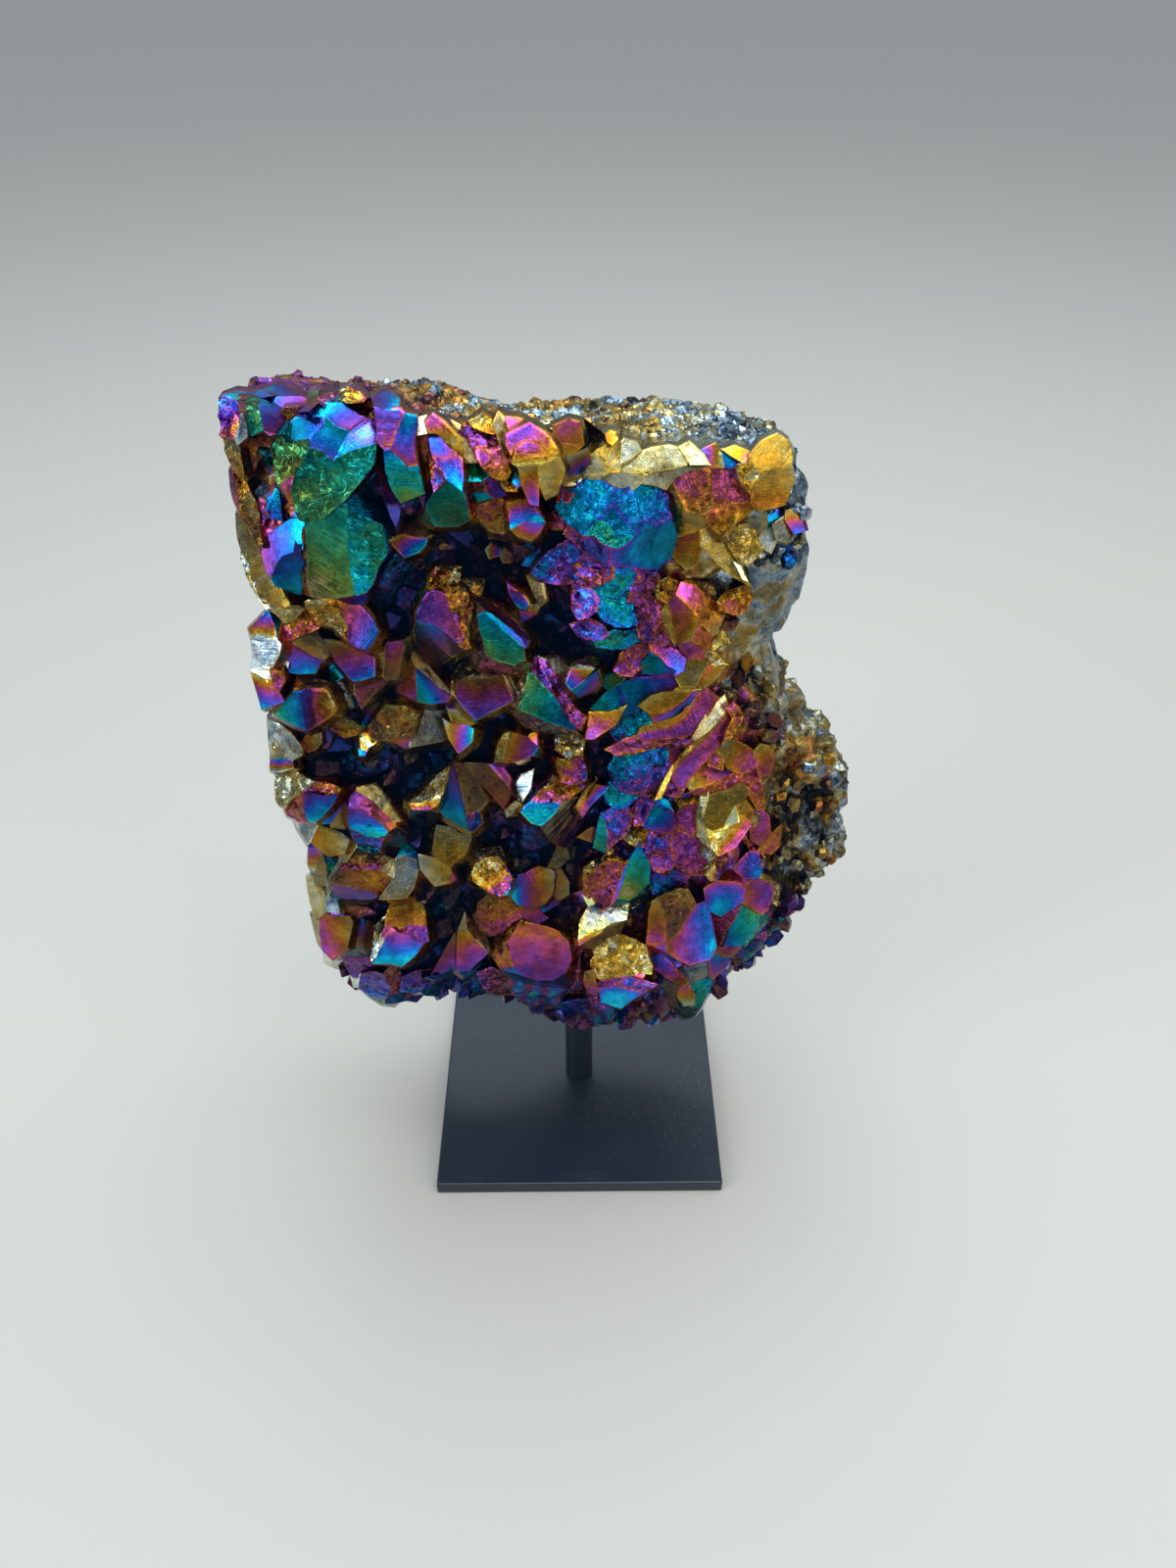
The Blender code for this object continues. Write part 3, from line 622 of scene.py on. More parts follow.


# works the relief into the facets and writes their film, painted brightness and grain
def shadeDrawn(obj, facetRows, crystals, seed):
    mesh = obj.data
    co, normals = meshArrays(mesh)
    ids = np.empty(len(mesh.polygons), np.int32)
    mesh.attributes["facet"].data.foreach_get("value", ids)
    count = len(facetRows)
    finishOf = np.array([row["finish"] for row in facetRows] + [0])
    tri = np.empty(len(mesh.polygons) * 3, np.int32)
    mesh.polygons.foreach_get("vertices", tri)
    tri = tri.reshape(-1, 3)
    faceFinish = np.where(ids >= 0, finishOf[np.maximum(ids, 0)], -1)
    # how far each vertex belongs to each finish
    weight = np.zeros((len(co), 5))
    for k in range(3):
        np.add.at(weight, (tri[:, k], faceFinish + 1), 1.0)
    weight /= np.maximum(weight.sum(1, keepdims=True), 1)
    px, py = seenAt(co)
    # the way of the film's run at each vertex, from any facet that it belongs to
    wayX, wayY = np.zeros(len(co)), np.zeros(len(co))
    ways = np.array([row["way"] for row in facetRows] + [0.0])
    for k in range(3):
        on = ids >= 0
        wayX[tri[on, k]] = np.cos(ways[ids[on]])
        wayY[tri[on, k]] = -np.sin(ways[ids[on]])
    along = (px * wayX + py * wayY) * drawnValues["perPixel"]
    across = (px * -wayY + py * wayX) * drawnValues["perPixel"]
    stripes = noiseAt(np.stack([along / 0.55, across / 7, co[:, 1] * 0 + wayX * 9], 1), 1.0, 1, seed)
    soft = noiseAt(co, 5.0, 1, seed + 1)
    small = noiseAt(co, 1.5, 1, seed + 2)
    tiny = noiseAt(co, 0.8, 1, seed + 3)
    near = bumpsAt(co, 1.9, seed)[0]
    push = (
        soft * relief["soft"]
        + weight[:, 2] * stripes * relief["striated"]
        + weight[:, 3] * (small * relief["rough"] + tiny * relief["roughFine"])
        + weight[:, 4] * ((0.35 - near) * relief["crinkled"] + tiny * relief["crinkledFine"])
    )
    # edges stay crisp, except on crinkled facets
    edge = np.minimum(1, 0.25 + 0.75 * (weight.max(1) > 0.99))
    push *= np.where(weight[:, 4] > 0.3, 1, edge)
    push *= co[:, 1] < relief["from"]
    co = co + normals * push[:, None]
    co[:, 0] = np.clip(co[:, 0], *drawnValues["reach"])
    co[:, 2] = np.minimum(co[:, 2], drawnValues["highest"])
    setPlaces(mesh, co)
    # the film's run across each facet, as the facet is seen
    film = np.full(len(tri) * 3, 0.25)
    shade = np.full(len(tri) * 3, 0.3)
    rimNear = np.zeros(len(tri) * 3)
    cornerVert = tri.ravel()
    cornerId = np.repeat(ids, 3)
    start, span, first, last, tone = (np.zeros(count) for k in range(5))
    dirX, dirY, middleX, middleY = (np.zeros(count) for k in range(4))
    away = np.full(len(tri) * 3, 9.0)
    order = np.argsort(cornerId, kind="stable")
    begin = np.searchsorted(cornerId[order], np.arange(count))
    end = np.searchsorted(cornerId[order], np.arange(count), side="right")
    for i, facet in enumerate(facetRows):
        dx, dy = math.cos(ways[i]), -math.sin(ways[i])
        reach = [x * dx + y * dy for x, y in facet["corners"]]
        start[i], span[i] = min(reach), max(reach) - min(reach)
        first[i], last[i] = facet["film"]
        tone[i] = max(facet["shade"], facet["shade"] ** toning["contrast"])
        # painted shade: brown facets are painted darker where the druse is open between the gaps
        dull = openAt(*np.array(facet["corners"][:1]).T)[0]
        if max(facet["film"]) < toning["brown"] and tone[i] < toning["brownShade"]:
            tone[i] *= 1 - toning["brownGapShade"] * dull
        dirX[i], dirY[i] = dx, dy
        middleX[i] = sum(x for x, y in facet["corners"]) / len(facet["corners"])
        middleY[i] = sum(y for x, y in facet["corners"]) / len(facet["corners"])
        mine = order[begin[i]:end[i]]
        x, y = px[cornerVert[mine]], py[cornerVert[mine]]
        for (ax, ay), (bx, by) in zip(facet["corners"], facet["corners"][1:] + facet["corners"][:1]):
            ux, uy = bx - ax, by - ay
            t = np.clip(((x - ax) * ux + (y - ay) * uy) / max(ux * ux + uy * uy, 0.01), 0, 1)
            rimAway = np.hypot(ax + ux * t - x, ay + uy * t - y) * drawnValues["perPixel"]
            away[mine] = np.minimum(away[mine], rimAway)
    on = cornerId >= 0
    idOn = cornerId[on]
    xOn, yOn = px[cornerVert[on]], py[cornerVert[on]]
    t = (xOn * dirX[idOn] + yOn * dirY[idOn] - start[idOn]) / np.maximum(span[idOn], 1)
    t = np.clip(t, 0, 1)
    # the colour runs on a little past the two ends of the drawn run
    finishOn = finishOf[idOn]
    beyond = np.where((first[idOn] + last[idOn] > 0.5) & (finishOn < 2), toning["beyond"], 0.0)
    beyond *= np.where(last[idOn] > first[idOn], 1, -1)
    film[on] = first[idOn] - beyond + (last[idOn] - first[idOn] + 2 * beyond) * t
    shade[on] = tone[idOn]
    lined, crinkled = np.full(len(tri) * 3, 0.8), np.full(len(tri) * 3, 0.15)
    lined[on] = np.array(relief["lined"])[finishOn]
    crinkled[on] = np.array(relief["crinkles"])[finishOn]
    rimNear[on] = np.exp(-away[on] / relief["rimWidth"])
    # painted light: a facet whose colour runs is painted brighter where its film is thick, and each one is
    # painted lighter on one side, as if it leaned to the light
    spread = np.abs(last[idOn] - first[idOn])
    thick = np.where(last[idOn] > first[idOn], t, 1 - t)
    shade[on] *= np.where(spread > toning["runs"], toning["runLow"] + toning["runRise"] * thick, 1)
    leanWay = (idOn * 37 % 101) / 101.0 * 2 * math.pi
    lean = (xOn - middleX[idOn]) * np.cos(leanWay) + (yOn - middleY[idOn]) * np.sin(leanWay)
    shade[on] *= np.clip(1 + lean / toning["lean"], *toning["leanRange"])
    # brown walls where the druse is open, and walls like the face above them where it has grown solid;
    # painted shade darkens both the deeper they reach into the slab, and deep open walls fade to the dark
    # bare film
    off = ~on
    owner = -1 - cornerId[off]
    deep = np.clip((co[cornerVert[off], 1] - toning["wallFoot"]) / toning["wallHeight"], 0, 1)
    gap = openAt(px[cornerVert[off]], py[cornerVert[off]])
    films = [sum(sum(f["film"]) for f in c["facets"]) / len(c["facets"]) / 2 for c in crystals]
    tones = [sum(f["shade"] for f in c["facets"]) / len(c["facets"]) for c in crystals]
    meanFilm, meanTone = np.array(films)[owner], np.array(tones)[owner]
    openFilm = toning["wallFilm"] + toning["wallSpread"] * (owner * 7919 % 101) / 101.0
    openFilm *= np.minimum(1, (1 - deep) * 4)
    openShade = toning["wallShade"] - toning["wallDepthShade"] * deep
    film[off] = meanFilm + (openFilm - meanFilm) * gap
    solidShade = meanTone * (1.05 - 0.25 * deep)
    shade[off] = solidShade + (openShade - solidShade) * gap
    # walls along the slab's upper edge take the top's film and painted brightness
    place = co[cornerVert[off]]
    upper = np.clip((place[:, 2] - toning["upperFrom"]) / toning["upperOver"], 0, 1)
    topValues = patchValues(place, topPatches)
    film[off] += (topValues[:, 0] - film[off]) * upper
    shade[off] += (topValues[:, 1] * toning["upperShade"] - shade[off]) * upper
    film = np.clip(film, 0.02, 1)
    layers = (("film", film), ("shade", shade), ("lined", lined), ("crinkled", crinkled), ("rim", rimNear))
    for name, values in layers:
        setValues(mesh, name, values, "CORNER")
    mesh.attributes.remove(mesh.attributes["facet"])
    mesh.uv_layers.new(name="stripes").data.foreach_set(
        "uv", np.stack([along[cornerVert], across[cornerVert]], 1).astype(np.float32).ravel()
    )


# where the rock shows a colour of its own: x, y, z in mm, then film, brightness and grain; the brightness is
# painted shade, low on the front between the crystals, on the back and underneath, higher on the top
rockPatches = [
    (-40,-10,150,.07,.16,.8), (0,-10,120,.1,.1,.9), (0,-10,90,.2,.09,.9), (0,-10,60,.3,.1,.9),
    (-30,-10,100,.3,.1,.9), (-30,-10,60,.2,.1,.9), (25,-10,70,.25,.1,.9), (25,-10,95,.35,.1,.9),
    (-45,0,160,.43,.55,.9), (-30,0,160,.4,.55,.9), (-22,5,159,.18,.6,.8), (-5,3,156,.18,.85,.6),
    (8,2,157,.2,.8,.7), (18,2,156,.1,.5,.8), (30,2,152,.05,.3,.8), (31,-8,145,.04,.4,.6),
    (30,-9,128,.19,.5,.2), (33,-8,118,.19,.52,.2), (37,-4,130,.05,.45,.4), (37,-7,112,.19,.5,.3),
    (36,0,120,.05,.4,.5), (40,-5,106,.21,.58,.5), (40,-8,99,.26,.75,.8), (46,-5,96,.2,.55,.5),
    (50,-4,84,.06,.5,.7), (46,-7,80,.15,.55,.9), (49,-4,70,.17,.55,1), (46,-6,90,.12,.46,.7),
    (50,-3,76,.16,.55,.9), (45,-7,72,.15,.6,.9), (43,-7,66,.23,.6,1), (40,-4,55,.36,.45,1.1),
    (30,0,38,.38,.3,1.2), (0,0,28,.4,.25,1.2), (-20,0,38,.62,.25,1.2), (-40,0,35,.45,.3,1.2),
    (-50,0,60,.16,.5,1), (-50,0,90,.14,.6,.9), (-51,0,115,.18,.6,.9), (-50,0,140,.12,.6,.8),
    (0,14,100,.1,.26,1.4), (-30,14,130,.15,.28,1.4), (30,14,120,.1,.28,1.4), (-30,14,60,.12,.26,1.4),
    (30,14,70,.14,.28,1.4), (0,14,145,.2,.32,1.4), (0,14,50,.22,.26,1.4),
]


# the colours along the rim of the slab: x, y, z in mm, then film and painted brightness, light on the top
# and darker underneath where shade falls
topPatches = [
    (-48,0,160,.43,.75), (-38,4,160,.42,.8), (-30,0,160,.4,.7), (-24,5,159,.24,.7), (-15,3,157,.22,.9),
    (-3,4,156,.21,.95), (8,4,157,.21,.95), (16,4,156,.17,.8), (22,0,155,.06,.65), (30,2,152,.045,.65),
    (36,2,142,.045,.55), (36,0,125,.1,.5), (38,-4,108,.19,.6), (46,-4,96,.17,.6), (50,-4,84,.17,.6),
    (50,-4,70,.18,.6), (46,0,62,.2,.5), (38,0,50,.4,.45), (30,0,38,.38,.35), (0,0,28,.4,.3),
    (-20,0,38,.6,.3), (-40,0,35,.45,.35), (-50,0,60,.16,.55), (-50,0,90,.14,.6), (-51,0,115,.18,.6),
    (-50,0,140,.12,.6),
]


# a place takes after the patches that are nearest to it
def patchValues(co, patches):
    marks = np.array(patches, float)
    total = np.zeros(len(co))
    sums = np.zeros((len(co), marks.shape[1] - 3))
    for row in marks:
        away = np.linalg.norm((co - row[:3]) * np.array([1, 1.3, 1]), axis=1)
        w = 1 / (away + 1.0) ** 3.0
        total += w
        sums += w[:, None] * row[3:]
    return sums / total[:, None]


# where the crystals end on the right and the plain rock begins, as y and x in the frame
bareLine = [
    (430,830), (480,806), (520,772), (560,756), (600,745), (640,741), (680,746), (700,764), (730,780),
    (760,786), (800,782), (850,776), (890,784), (930,830),
]


# 1 where the rock is plain, 0 where crystals cover it
def bareAt(px, py):
    edge = np.interp(py, [row[0] for row in bareLine], [row[1] for row in bareLine])
    return np.clip((px - edge) / 14 + 0.5, 0, 1)


# the slab in mm: its rings as depth and inset, the remesh, the pin hole's radius, foot and head, the limits,
# the sizes of its lumps, its jagged right edge as sizes, octaves and heights, and the crust in front
rockValues = {
    "rings": [(-9, 4.0), (-6, 1.2), (0, 0.2), (7, 0.2), (11.5, 2.0), (14.5, 6.0)],
    "voxel": 0.8, "quickVoxel": 2.0, "hole": (3.3, 20.0, 44.8), "reach": (-52.2, 51.6), "back": 16.2,
    "lump": 4.5, "smallLump": 2.0, "broad": 14.0, "grit": 2.2, "jagged": ((6.0, 2, 2.2), (2.8, 1, 2.0)),
    "jaggedFrom": 22, "front": -5.5, "crustGap": 1.3, "gapDepth": 5.5, "crustLeast": -8, "crustMost": -19.5,
}


# the slab's outline moved inwards
def insetOutline(amount):
    moved = []
    for before, here, after in zip(outline[-1:] + outline[:-1], outline, outline[1:] + outline[:1]):
        run = (Vector(after) - Vector(before)).normalized()
        moved.append(Vector(here) + Vector((run.y, -run.x)) * amount)
    return moved


# the slab: its outline extruded ring by ring, remeshed, roughened and drilled
def buildRock(marks):
    count = len(outline)
    bpy.ops.mesh.primitive_circle_add(vertices=count, radius=10, fill_type="NGON")
    obj = bpy.context.object
    obj.name = obj.data.name = "crystal_cluster_rock"
    ring = list(range(count))
    for step, (y, inset) in enumerate(rockValues["rings"]):
        if step:
            bpy.ops.object.mode_set(mode="EDIT")
            bpy.ops.mesh.select_all(action="DESELECT")
            bpy.ops.object.mode_set(mode="OBJECT")
            for face in obj.data.polygons:
                face.select = set(face.vertices) == set(ring)
            bpy.ops.object.mode_set(mode="EDIT")
            bpy.ops.mesh.select_mode(type="FACE")
            bpy.ops.mesh.extrude_region_move()
            bpy.ops.object.mode_set(mode="OBJECT")
            last = [f for f in obj.data.polygons if f.select][0]
            ring = list(last.vertices)
        else:
            ring = list(obj.data.polygons[0].vertices)
        for (x, z), index in zip(insetOutline(inset), ring):
            obj.data.vertices[index].co = (x, y, z)
    bpy.ops.object.mode_set(mode="EDIT")
    bpy.ops.mesh.select_all(action="SELECT")
    bpy.ops.mesh.normals_make_consistent(inside=False)
    bpy.ops.object.mode_set(mode="OBJECT")
    obj.location = (0, 0, 0)
    remesh = obj.modifiers.new("remesh", "REMESH")
    remesh.mode = "VOXEL"
    remesh.voxel_size = rockValues["voxel"]
    bpy.ops.object.modifier_apply(modifier="remesh")
    co, normals = meshArrays(obj.data)
    back = np.clip((co[:, 1] - 8) / 4, 0, 1)
    right = np.clip((co[:, 0] - 34) / 4, 0, 1) * np.clip((112 - co[:, 2]) / 8, 0, 1)
    near, cell = bumpsAt(co, rockValues["lump"], 3)
    nearSmall = bumpsAt(co, rockValues["smallLump"], 5)[0]
    broad = noiseAt(co, rockValues["broad"], 2, 6)
    small = noiseAt(co, rockValues["grit"], 2, 7)
    push = broad * (0.5 + back * 1.2) + small * 0.35 + (0.4 - near) * (0.7 + right * 1.6)
    push = push + (cell - 0.5) * right * 2.4 + (0.4 - nearSmall) * (0.35 + right * 0.4)
    push = np.where(co[:, 1] < rockValues["front"], np.minimum(push, 0.6), push)
    # the walls stay inside the slab's outline
    wall = np.abs(normals[:, 1]) < 0.6
    jagged = co[:, 0] > rockValues["jaggedFrom"]
    jag = sum(
        noiseAt(co, size, octaves, 41 + k) * height
        for k, (size, octaves, height) in enumerate(rockValues["jagged"])
    )
    push = np.where(wall, np.minimum(push + jag * jagged, 0.9 * jagged + 0.15) - 0.1, push)
    hole = np.linalg.norm(co[:, :2], axis=1) < 6.5
    push = np.where(hole & (co[:, 2] < 46), 0, push)
    co = co + normals * push[:, None]
    co[:, 0] = np.clip(co[:, 0], *rockValues["reach"])
    co[:, 1] = np.minimum(co[:, 1], rockValues["back"])
    # the druse's crust comes forward to just behind the drawn crystals, and stays deep where the gaps are
    rim = rimDistance(co[:, 0], co[:, 2])
    bare = bareAt(*seenAt(co))
    front = np.nonzero(co[:, 1] < rockValues["front"])[0]
    y = co[front, 1].copy()
    for step in range(3):
        px, py = seenAt(np.stack([co[front, 0], y, co[front, 2]], 1))
        found, away = nearestMarks(px, py, marks, 5)
        w = 1 / (away + 3) ** 2
        depth = (marks[found, 2] * w).sum(1) / w.sum(1)
        gaps = openAt(px, py)
        crust = depth + rockValues["crustGap"] + gaps * rockValues["gapDepth"]
        crust += (nearSmall[front] - 0.4) * 1.2
        crust += (near[front] - 0.4) * 1.4
        keepBack = np.clip((rim[front] - 0.5) / 4.5, 0, 1) * (1 - bare[front])
        y = co[front, 1] + (np.minimum(crust, rockValues["crustLeast"]) - co[front, 1]) * keepBack
    y = np.minimum(y, co[front, 1] + 0.5)
    co[front, 1] = np.clip(y, rockValues["crustMost"], 0)
    setPlaces(obj.data, co)
    smooth = obj.modifiers.new("smooth", "SMOOTH")
    smooth.factor, smooth.iterations = 0.5, 1
    bpy.ops.object.modifier_apply(modifier="smooth")
    radius, low, high = rockValues["hole"]
    bpy.ops.mesh.primitive_cylinder_add(
        vertices=32, radius=radius, depth=high - low, location=(0, 0, (high + low) / 2),
    )
    drill = bpy.context.object
    cut = obj.modifiers.new("hole", "BOOLEAN")
    cut.object, cut.operation, cut.solver = drill, "DIFFERENCE", "EXACT"
    select(obj)
    bpy.ops.object.modifier_apply(modifier="hole")
    bpy.data.objects.remove(drill)
    co = meshArrays(obj.data)[0]
    values = patchValues(co, rockPatches)
    cell = bumpsAt(co, rockValues["smallLump"], 5)[1]
    rough = noiseAt(co, 6.0, 2, 9)
    film, shade, grain = values[:, 0], values[:, 1] * (1 + rough * 0.5), values[:, 2]
    px, py = seenAt(co + noiseAt(co, 3.0, 1, 31)[:, None] * 1.2)
    near = marks[nearestMarks(px, py, marks, 1)[0][:, 0]]
    gaps = openAt(px, py)
    bare = bareAt(*seenAt(co))
    # painted shade: the crust takes the film and brightness of the nearest drawn facet, and in the gaps is
    # painted deep blue and darker
    crust = np.clip((-7.5 - co[:, 1]) / 1.5, 0, 1) * (1 - bare)
    film += (near[:, 3] * (1 - gaps) + 0.57 * gaps - film) * crust
    shade += (np.minimum(near[:, 4], 1.0) * (1.1 - 0.95 * gaps) - shade) * crust
    setValues(obj.data, "film", np.clip(film + rough * 0.06 + (cell - 0.5) * 0.09, 0.035, 1))
    setValues(obj.data, "shade", shade)
    setValues(obj.data, "crinkled", np.minimum(grain, 1.2))
    return obj


# a small quartz point: its sides, radius and length, how steeply and how high each face of its tip is cut,
# and how flat it is
pointValues = {
    "sides": 6, "radius": 1, "length": 4, "steep": (0.75, 1.15), "lift": (-0.5, 0.25), "squash": (0.6, 1.0),
}


# a cylinder whose end is cut to a point, as its corners and faces
def makePoint(seed):
    chance = random.Random(seed)
    bpy.ops.mesh.primitive_cylinder_add(
        vertices=pointValues["sides"], radius=pointValues["radius"], depth=pointValues["length"],
        location=(0, 0, -1), end_fill_type="NGON",
    )
    obj = bpy.context.object
    squash = chance.uniform(*pointValues["squash"])
    for v in obj.data.vertices:
        v.co.y *= squash
    bpy.ops.object.mode_set(mode="EDIT")
    for k in range(pointValues["sides"]):
        angle = math.radians(60 * k + 30)
        steep = chance.uniform(*pointValues["steep"])
        lift = 1.0 + chance.uniform(*pointValues["lift"])
        bpy.ops.mesh.select_all(action="SELECT")
        bpy.ops.mesh.bisect(
            plane_co=(math.cos(angle) * 0.87, math.sin(angle) * 0.87 * squash, lift - 0.9 - 1),
            plane_no=(math.cos(angle), math.sin(angle), steep), use_fill=True, clear_outer=True,
        )
    bpy.ops.mesh.select_all(action="SELECT")
    bpy.ops.mesh.remove_doubles(threshold=0.01)
    bpy.ops.mesh.dissolve_limited(angle_limit=math.radians(2))
    bpy.ops.mesh.normals_make_consistent(inside=False)
    bpy.ops.object.mode_set(mode="OBJECT")
    co = meshArrays(obj.data)[0]
    co[:, 2] -= co[:, 2].max()
    faces = [tuple(f.vertices) for f in obj.data.polygons]
    bpy.data.objects.remove(obj)
    return co, faces


# the box that no small crystal leaves, in mm
scatterBox = ((-52.3, -23, 24), (51.6, 16.2, 165.3))


# sets a copy of a point at each row's place, all in one mesh
def scatter(name, masters, rows):
    places, faces, film, shade, crinkled, runs = [], [], [], [], [], []
    for row in rows:
        co, shape = masters[row["master"]]
        size = np.array([row["width"], row["width"], row["length"]])
        axis = Vector(row["axis"]).normalized()
        turn = np.array(axis.to_track_quat("Z", "Y").to_matrix() @ Matrix.Rotation(row["spin"], 3, "Z"))
        moved = (co * size) @ turn.T + np.array(row["tip"])
        moved = np.clip(moved, *scatterBox)
        start = sum(len(p) for p in places)
        faces += [tuple(start + i for i in f) for f in shape]
        places.append(moved)
        # painted shade: each small point is painted darker toward its foot in the rock
        baseShade = np.clip(1 + co[:, 2] / 3.2, 0.25, 1)
        film.append(np.full(len(co), row["film"]) + (co[:, 2] + 1) * row["run"])
        shade.append(row["shade"] * baseShade)
        crinkled.append(np.full(len(co), row["grain"]))
        runs.append(co[:, [2, 0]] * size[[2, 0]])
    mesh = bpy.data.meshes.new(name)
    mesh.from_pydata(np.concatenate(places).tolist(), [], faces)
    setValues(mesh, "film", np.clip(np.concatenate(film), 0.02, 1))
    setValues(mesh, "shade", np.concatenate(shade))
    setValues(mesh, "crinkled", np.concatenate(crinkled))
    setValues(mesh, "lined", np.full(len(mesh.vertices), 0.5))
    corner = np.empty(len(mesh.loops), np.int32)
    mesh.loops.foreach_get("vertex_index", corner)
    stripes = np.concatenate(runs)[corner].astype(np.float32).ravel()
    mesh.uv_layers.new(name="stripes").data.foreach_set("uv", stripes)
    obj = bpy.data.objects.new(name, mesh)
    bpy.context.scene.collection.objects.link(obj)
    return obj


# each drawn corner as a mark: its place in the frame, its depth, film and painted brightness
def drawnMarks(crystals):
    marks = []
    for crystal in crystals:
        for facet in crystal["facets"]:
            run = [x * math.cos(facet["way"]) - y * math.sin(facet["way"]) for x, y in facet["corners"]]
            low, span = min(run), max(max(run) - min(run), 1)
            for corner, reach in zip(facet["corners"], run):
                film = facet["film"][0] + (facet["film"][1] - facet["film"][0]) * (reach - low) / span
                marks.append((*corner, crystal["places"][corner].y, film, facet["shade"]))
    return np.array(marks)


# how open the druse is between the drawn crystals: x and y in the frame, and 0 for solid to 1 for deep gaps
openings = [
    (250,430,.2), (300,480,0), (350,450,0), (380,560,.1), (280,560,.15), (420,440,0), (430,480,.1),
    (440,530,.9), (500,540,1), (540,560,1), (470,470,.15), (540,450,.15), (610,450,0), (620,540,0),
    (620,620,0), (690,560,0), (730,500,0), (780,470,.1), (720,640,0), (660,700,.1), (700,760,0),
    (640,800,.15), (720,850,.05), (790,860,.1), (820,800,0), (640,880,.2), (560,650,1), (590,700,.9),
    (470,640,.8), (400,620,.9), (420,700,1), (340,640,.7), (300,700,.7), (360,740,1), (480,760,1),
    (540,760,.9), (440,800,1), (600,770,.7), (560,850,.8), (590,900,.5), (330,800,.7), (300,850,.6),
    (400,870,.9), (460,880,.9), (480,940,.9), (380,930,.6), (340,960,.3), (430,1000,.5), (540,980,.2),
    (620,960,.3), (680,960,.4), (720,1000,.4), (640,1020,.3), (260,620,.3), (270,700,.3), (290,780,.4),
    (320,900,.3),
]


# the marks nearest to each place of the frame, and how far off they are
def nearestMarks(px, py, marks, count):
    tree = kdtree.KDTree(len(marks))
    for i, mark in enumerate(marks):
        tree.insert((mark[0], mark[1], 0), i)
    tree.balance()
    found = np.empty((len(px), count), np.int32)
    away = np.empty((len(px), count))
    for row, (x, y) in enumerate(zip(px, py)):
        for k, (place, index, distance) in enumerate(tree.find_n((x, y, 0), count)):
            found[row, k], away[row, k] = index, distance
    return found, away


# how open the druse is at places of the frame
def openAt(px, py):
    total, sums = np.zeros(len(px)), np.zeros(len(px))
    for x, y, value in openings:
        w = 1 / (np.hypot(px - x, py - y) + 8) ** 3
        total += w
        sums += w * value
    return sums / total


# the small crystals in the gaps: the places that are tried, how far they stay apart and inside the rim,
# their depth, and how much larger they grow and how much painted shade darkens them in deep gaps
smallValues = {
    "seed": 21, "tries": 5200, "x": (-51, 51), "z": (29, 159), "apart": 2.6, "rim": 1.5, "depth": -8.5,
    "width": (1.1, 2.3), "length": (1.6, 2.6), "strewnWidth": (0.8, 2.1), "strewnLength": (0.6, 1.3),
    "gapFilms": [0.2, 0.24, 0.58, 0.6], "grow": 0.9, "gapShade": 0.62,
}
# small crystals strewn on the plain rock: how many, depth in mm, films, and left, top, right, bottom in view
strewn = [
    (34,-10.2,(.045,.055,.08,.12,.6),(748,500,820,575)), (30,-9.2,(.15,.22,.27,.3,.19),(742,672,800,745)),
    (60,-8.4,(.05,.1,.16,.2,.22,.25),(785,745,862,885)), (26,-9.0,(.16,.19,.22,.12),(700,560,745,640)),
]
# the small crystals' colours by place, as x, y, z in mm, film, brightness; the brightness is low, painted
# shade among the drawn crystals
smallPatches = [
    (-42,-12,150,.12,.5), (-42,-12,120,.3,.4), (-42,-12,90,.4,.4), (-42,-12,60,.35,.35),
    (-20,-12,150,.42,.4), (-20,-12,120,.5,.35), (-20,-12,90,.4,.35), (-20,-12,60,.55,.35),
    (0,-12,150,.2,.5), (0,-12,120,.3,.35), (0,-12,90,.3,.3), (0,-12,50,.42,.3), (22,-12,145,.12,.5),
    (22,-12,110,.3,.4), (22,-12,80,.38,.4), (22,-12,50,.4,.35), (42,-10,95,.22,.5), (42,-10,70,.3,.5),
    (35,-10,50,.45,.4),
]


# how far inside the slab's outline a place is, in mm
def rimDistance(x, z):
    best = np.full(np.shape(x), 1e9)
    for (ax, az), (bx, bz) in zip(outline, outline[1:] + outline[:1]):
        dx, dz = bx - ax, bz - az
        t = np.clip(((x - ax) * dx + (z - az) * dz) / (dx * dx + dz * dz), 0, 1)
        best = np.minimum(best, np.hypot(ax + dx * t - x, az + dz * t - z))
    return best


